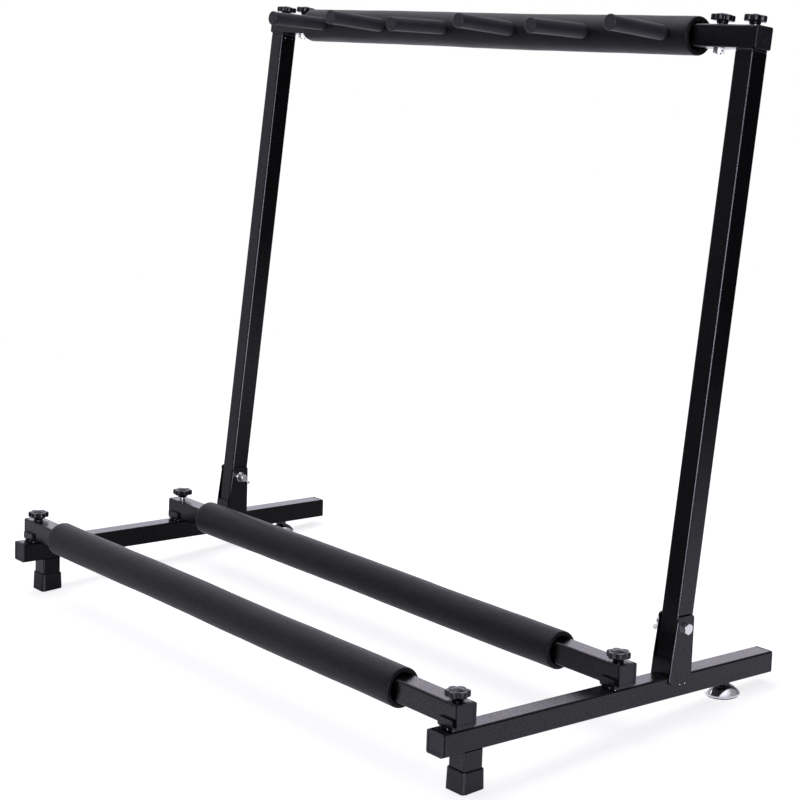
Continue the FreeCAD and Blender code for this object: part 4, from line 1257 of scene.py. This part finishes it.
    def _bare_floor(
        self,
        graph: Graph,
        where: bpy.types.NodeSocket,
        part: bpy.types.NodeOutputs,
        fade: bpy.types.NodeSocket,
    ) -> bpy.types.NodeSocket:
        """Where reflections see through the floor into the room, from 0 to 1. Under the stand this is a
        painted shadow of the stand.

        Args:
            graph: the floor's nodes.
            where: the place on the floor.
            part: the same place as X, Y and Z.
            fade: how far the floor has faded there.

        Returns:
            The socket of the mask.
        """
        along = self._along(graph, where, self.paper_way)
        left_out = graph.ramp(along, self.paper_dark, self.paper_bright, 1.0, 0.0)
        toward = self._along(graph, where, self.camera_way)
        ahead = graph.ramp(toward, *self.camera_edge, 0.0, 1.0)
        # Painted shadow: under the stand, reflections see through the floor into the dim room in place of the
        # stand's shadow.
        under = graph.math("MULTIPLY", graph.ramp(part["X"], *self.open_right, self.stand_shadow_share, 0.0),
                           graph.ramp(part["Y"], *self.open_front, 1.0, 0.0))
        edges = graph.math("MAXIMUM", fade, ahead)
        return graph.math("MAXIMUM", edges, graph.math("MAXIMUM", left_out, under))

    @staticmethod
    def _along(graph: Graph, place: bpy.types.NodeSocket, way: Sequence[float]) -> bpy.types.NodeSocket:
        """How far a place lies along a direction."""
        return graph.add("ShaderNodeVectorMath", {0: place, 1: way}, operation="DOT_PRODUCT").outputs["Value"]

    @staticmethod
    def _shine(graph: Graph, colour: Sequence[float], strength: Any) -> bpy.types.NodeSocket:
        """A shader that gives off light."""
        return graph.add("ShaderNodeEmission", {"Color": colour, "Strength": strength}).outputs[0]

    @staticmethod
    def _mix(graph: Graph, factor: Any, first: Any, second: Any) -> bpy.types.NodeSocket:
        """A shader between two.

        Args:
            graph: the material's nodes.
            factor: 0 for the first shader, 1 for the second.
            first, second: the shaders.

        Returns:
            The socket of the shader.
        """
        node = graph.add("ShaderNodeMixShader")
        for target, value in zip(node.inputs, (factor, first, second)):
            graph.feed(target, value)
        return node.outputs[0]

    def _lamp(self, name: str) -> None:
        """A rectangular soft lamp above the stand that looks at its middle.

        Args:
            name: the lamp's name.
        """
        lamp = bpy.data.lights.new(name, "AREA")
        lamp.shape = "RECTANGLE"
        lamp.size, lamp.size_y = self.lamp_size
        lamp.energy = self.lamp_watts
        holder = bpy.data.objects.new(name, lamp)
        holder.location = self.lamp_place
        aim = Vector(self.lamp_target) - Vector(self.lamp_place)
        holder.rotation_euler = aim.to_track_quat("-Z", "Y").to_euler()
        bpy.context.scene.collection.objects.link(holder)


@dataclass
class PhotoCamera:
    """The camera at the photograph's viewpoint.

    Attributes:
        place: where it stands.
        azimuth, elevation, roll: where it looks from, and its tilt, in degrees.
        sensor, focal_share: the sensor's width, and the lens as a share of it.
        shift_up: how far the picture's middle lies off the lens's axis.
        clip_end: how far it sees.
    """

    place: tuple[float, float, float] = (1.62699, -1.24384, 0.73091)
    azimuth: float = 51.358
    elevation: float = 10.936
    roll: float = -1.160
    sensor: float = 36.0
    focal_share: float = 2.4594
    shift_up: float = -0.0865
    clip_end: float = 60.0

    def build(self) -> None:
        """Makes the camera and gives it to the scene."""
        azimuth, elevation, roll = (math.radians(a) for a in (self.azimuth, self.elevation, self.roll))
        back = Vector((
            math.sin(azimuth) * math.cos(elevation),
            -math.cos(azimuth) * math.cos(elevation),
            math.sin(elevation),
        ))
        level = Vector((math.cos(azimuth), math.sin(azimuth), 0.0))
        upright = back.cross(level)
        right = level * math.cos(roll) + upright * math.sin(roll)
        up = upright * math.cos(roll) - level * math.sin(roll)
        lens = bpy.data.cameras.new("photo_camera")
        lens.sensor_width = self.sensor
        lens.lens = self.sensor * self.focal_share
        lens.shift_y = self.shift_up
        lens.clip_end = self.clip_end
        camera = bpy.data.objects.new("photo_camera", lens)
        turn = Matrix((right, up, back)).transposed().to_4x4()
        camera.matrix_world = Matrix.Translation(Vector(self.place)) @ turn
        bpy.context.scene.collection.objects.link(camera)
        bpy.context.scene.camera = camera
        LOG.info("camera at %s", tuple(round(v, 3) for v in self.place))


# The stand

class GuitarStand:
    """The whole stand: its finishes and the pieces that are added to the CAD nodes.

    Attributes:
        nuts_below: from a knob's seat on the neck bar down to the end of the nut under the bar.
        wing_hub: height of a wing nut's hub.
    """

    nuts_below: float = 27.0 * MM
    wing_hub: float = 7.0 * MM

    def __init__(self, frame: Frame) -> None:
        """Works on the loaded frame."""
        self.frame = frame
        self.finishes = Finishes()

    def build(self) -> None:
        """Dresses the nodes and adds the foam, the beads, the mould rings and the threads."""
        self.finishes.dress_nodes(self.frame)
        foam = self.finishes.materials[Slot.FOAM]
        sleeves = (
            FoamSleeve("front_foam_sleeve", "front_bar_foam", "base", seed=11),
            FoamSleeve("rear_foam_sleeve", "rear_bar_foam", "base", seed=23),
            FoamSleeve("neck_foam_sleeve", "neck_bar_foam", "neck_frame", seed=37),
        )
        for sleeve in sleeves:
            sleeve.build(foam)
        WeldBeads().build(
            self.frame, self.finishes.materials[Slot.FRAME_PAINT], self.finishes.materials[Slot.ZINC_STEEL],
        )
        MouldRing().build(self.frame, self.finishes.materials[Slot.PLUG_PLASTIC])
        self._threads()

    def _threads(self) -> None:
        """Winds threads on the bare ends of the pivot bolts and the inner neck studs."""
        zinc = self.finishes.materials[Slot.ZINC_STEEL]
        thread = ScrewThread()
        for side in SIDES:
            name = f"neck_{side}_inner_knob"
            axes = joint_axes(self.frame, f"{name}_turn")
            low, _ = axis_span(self.frame["nodes"][f"{name}_stud"], axes)
            start = axes.origin + axes.up * low
            thread.build(f"{name}_thread", start, axes.up, -low - self.nuts_below, zinc, name)
            axes = joint_axes(self.frame, f"{side}_wing_nut_turn")
            _, high = axis_span(self.frame["nodes"][f"{side}_pivot_bolt"], axes)
            start = axes.origin + axes.up * self.wing_hub
            thread.build(f"{side}_pivot_thread", start, axes.up, high - self.wing_hub, zinc, "base")


def main() -> None:
    """Loads the frame, dresses the stand and sets the studio and camera."""
    logging.basicConfig(level=logging.INFO, format="%(name)s: %(message)s")
    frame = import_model()
    GuitarStand(frame).build()
    Studio().build()
    PhotoCamera().build()


if __name__ == "__main__":
    main()
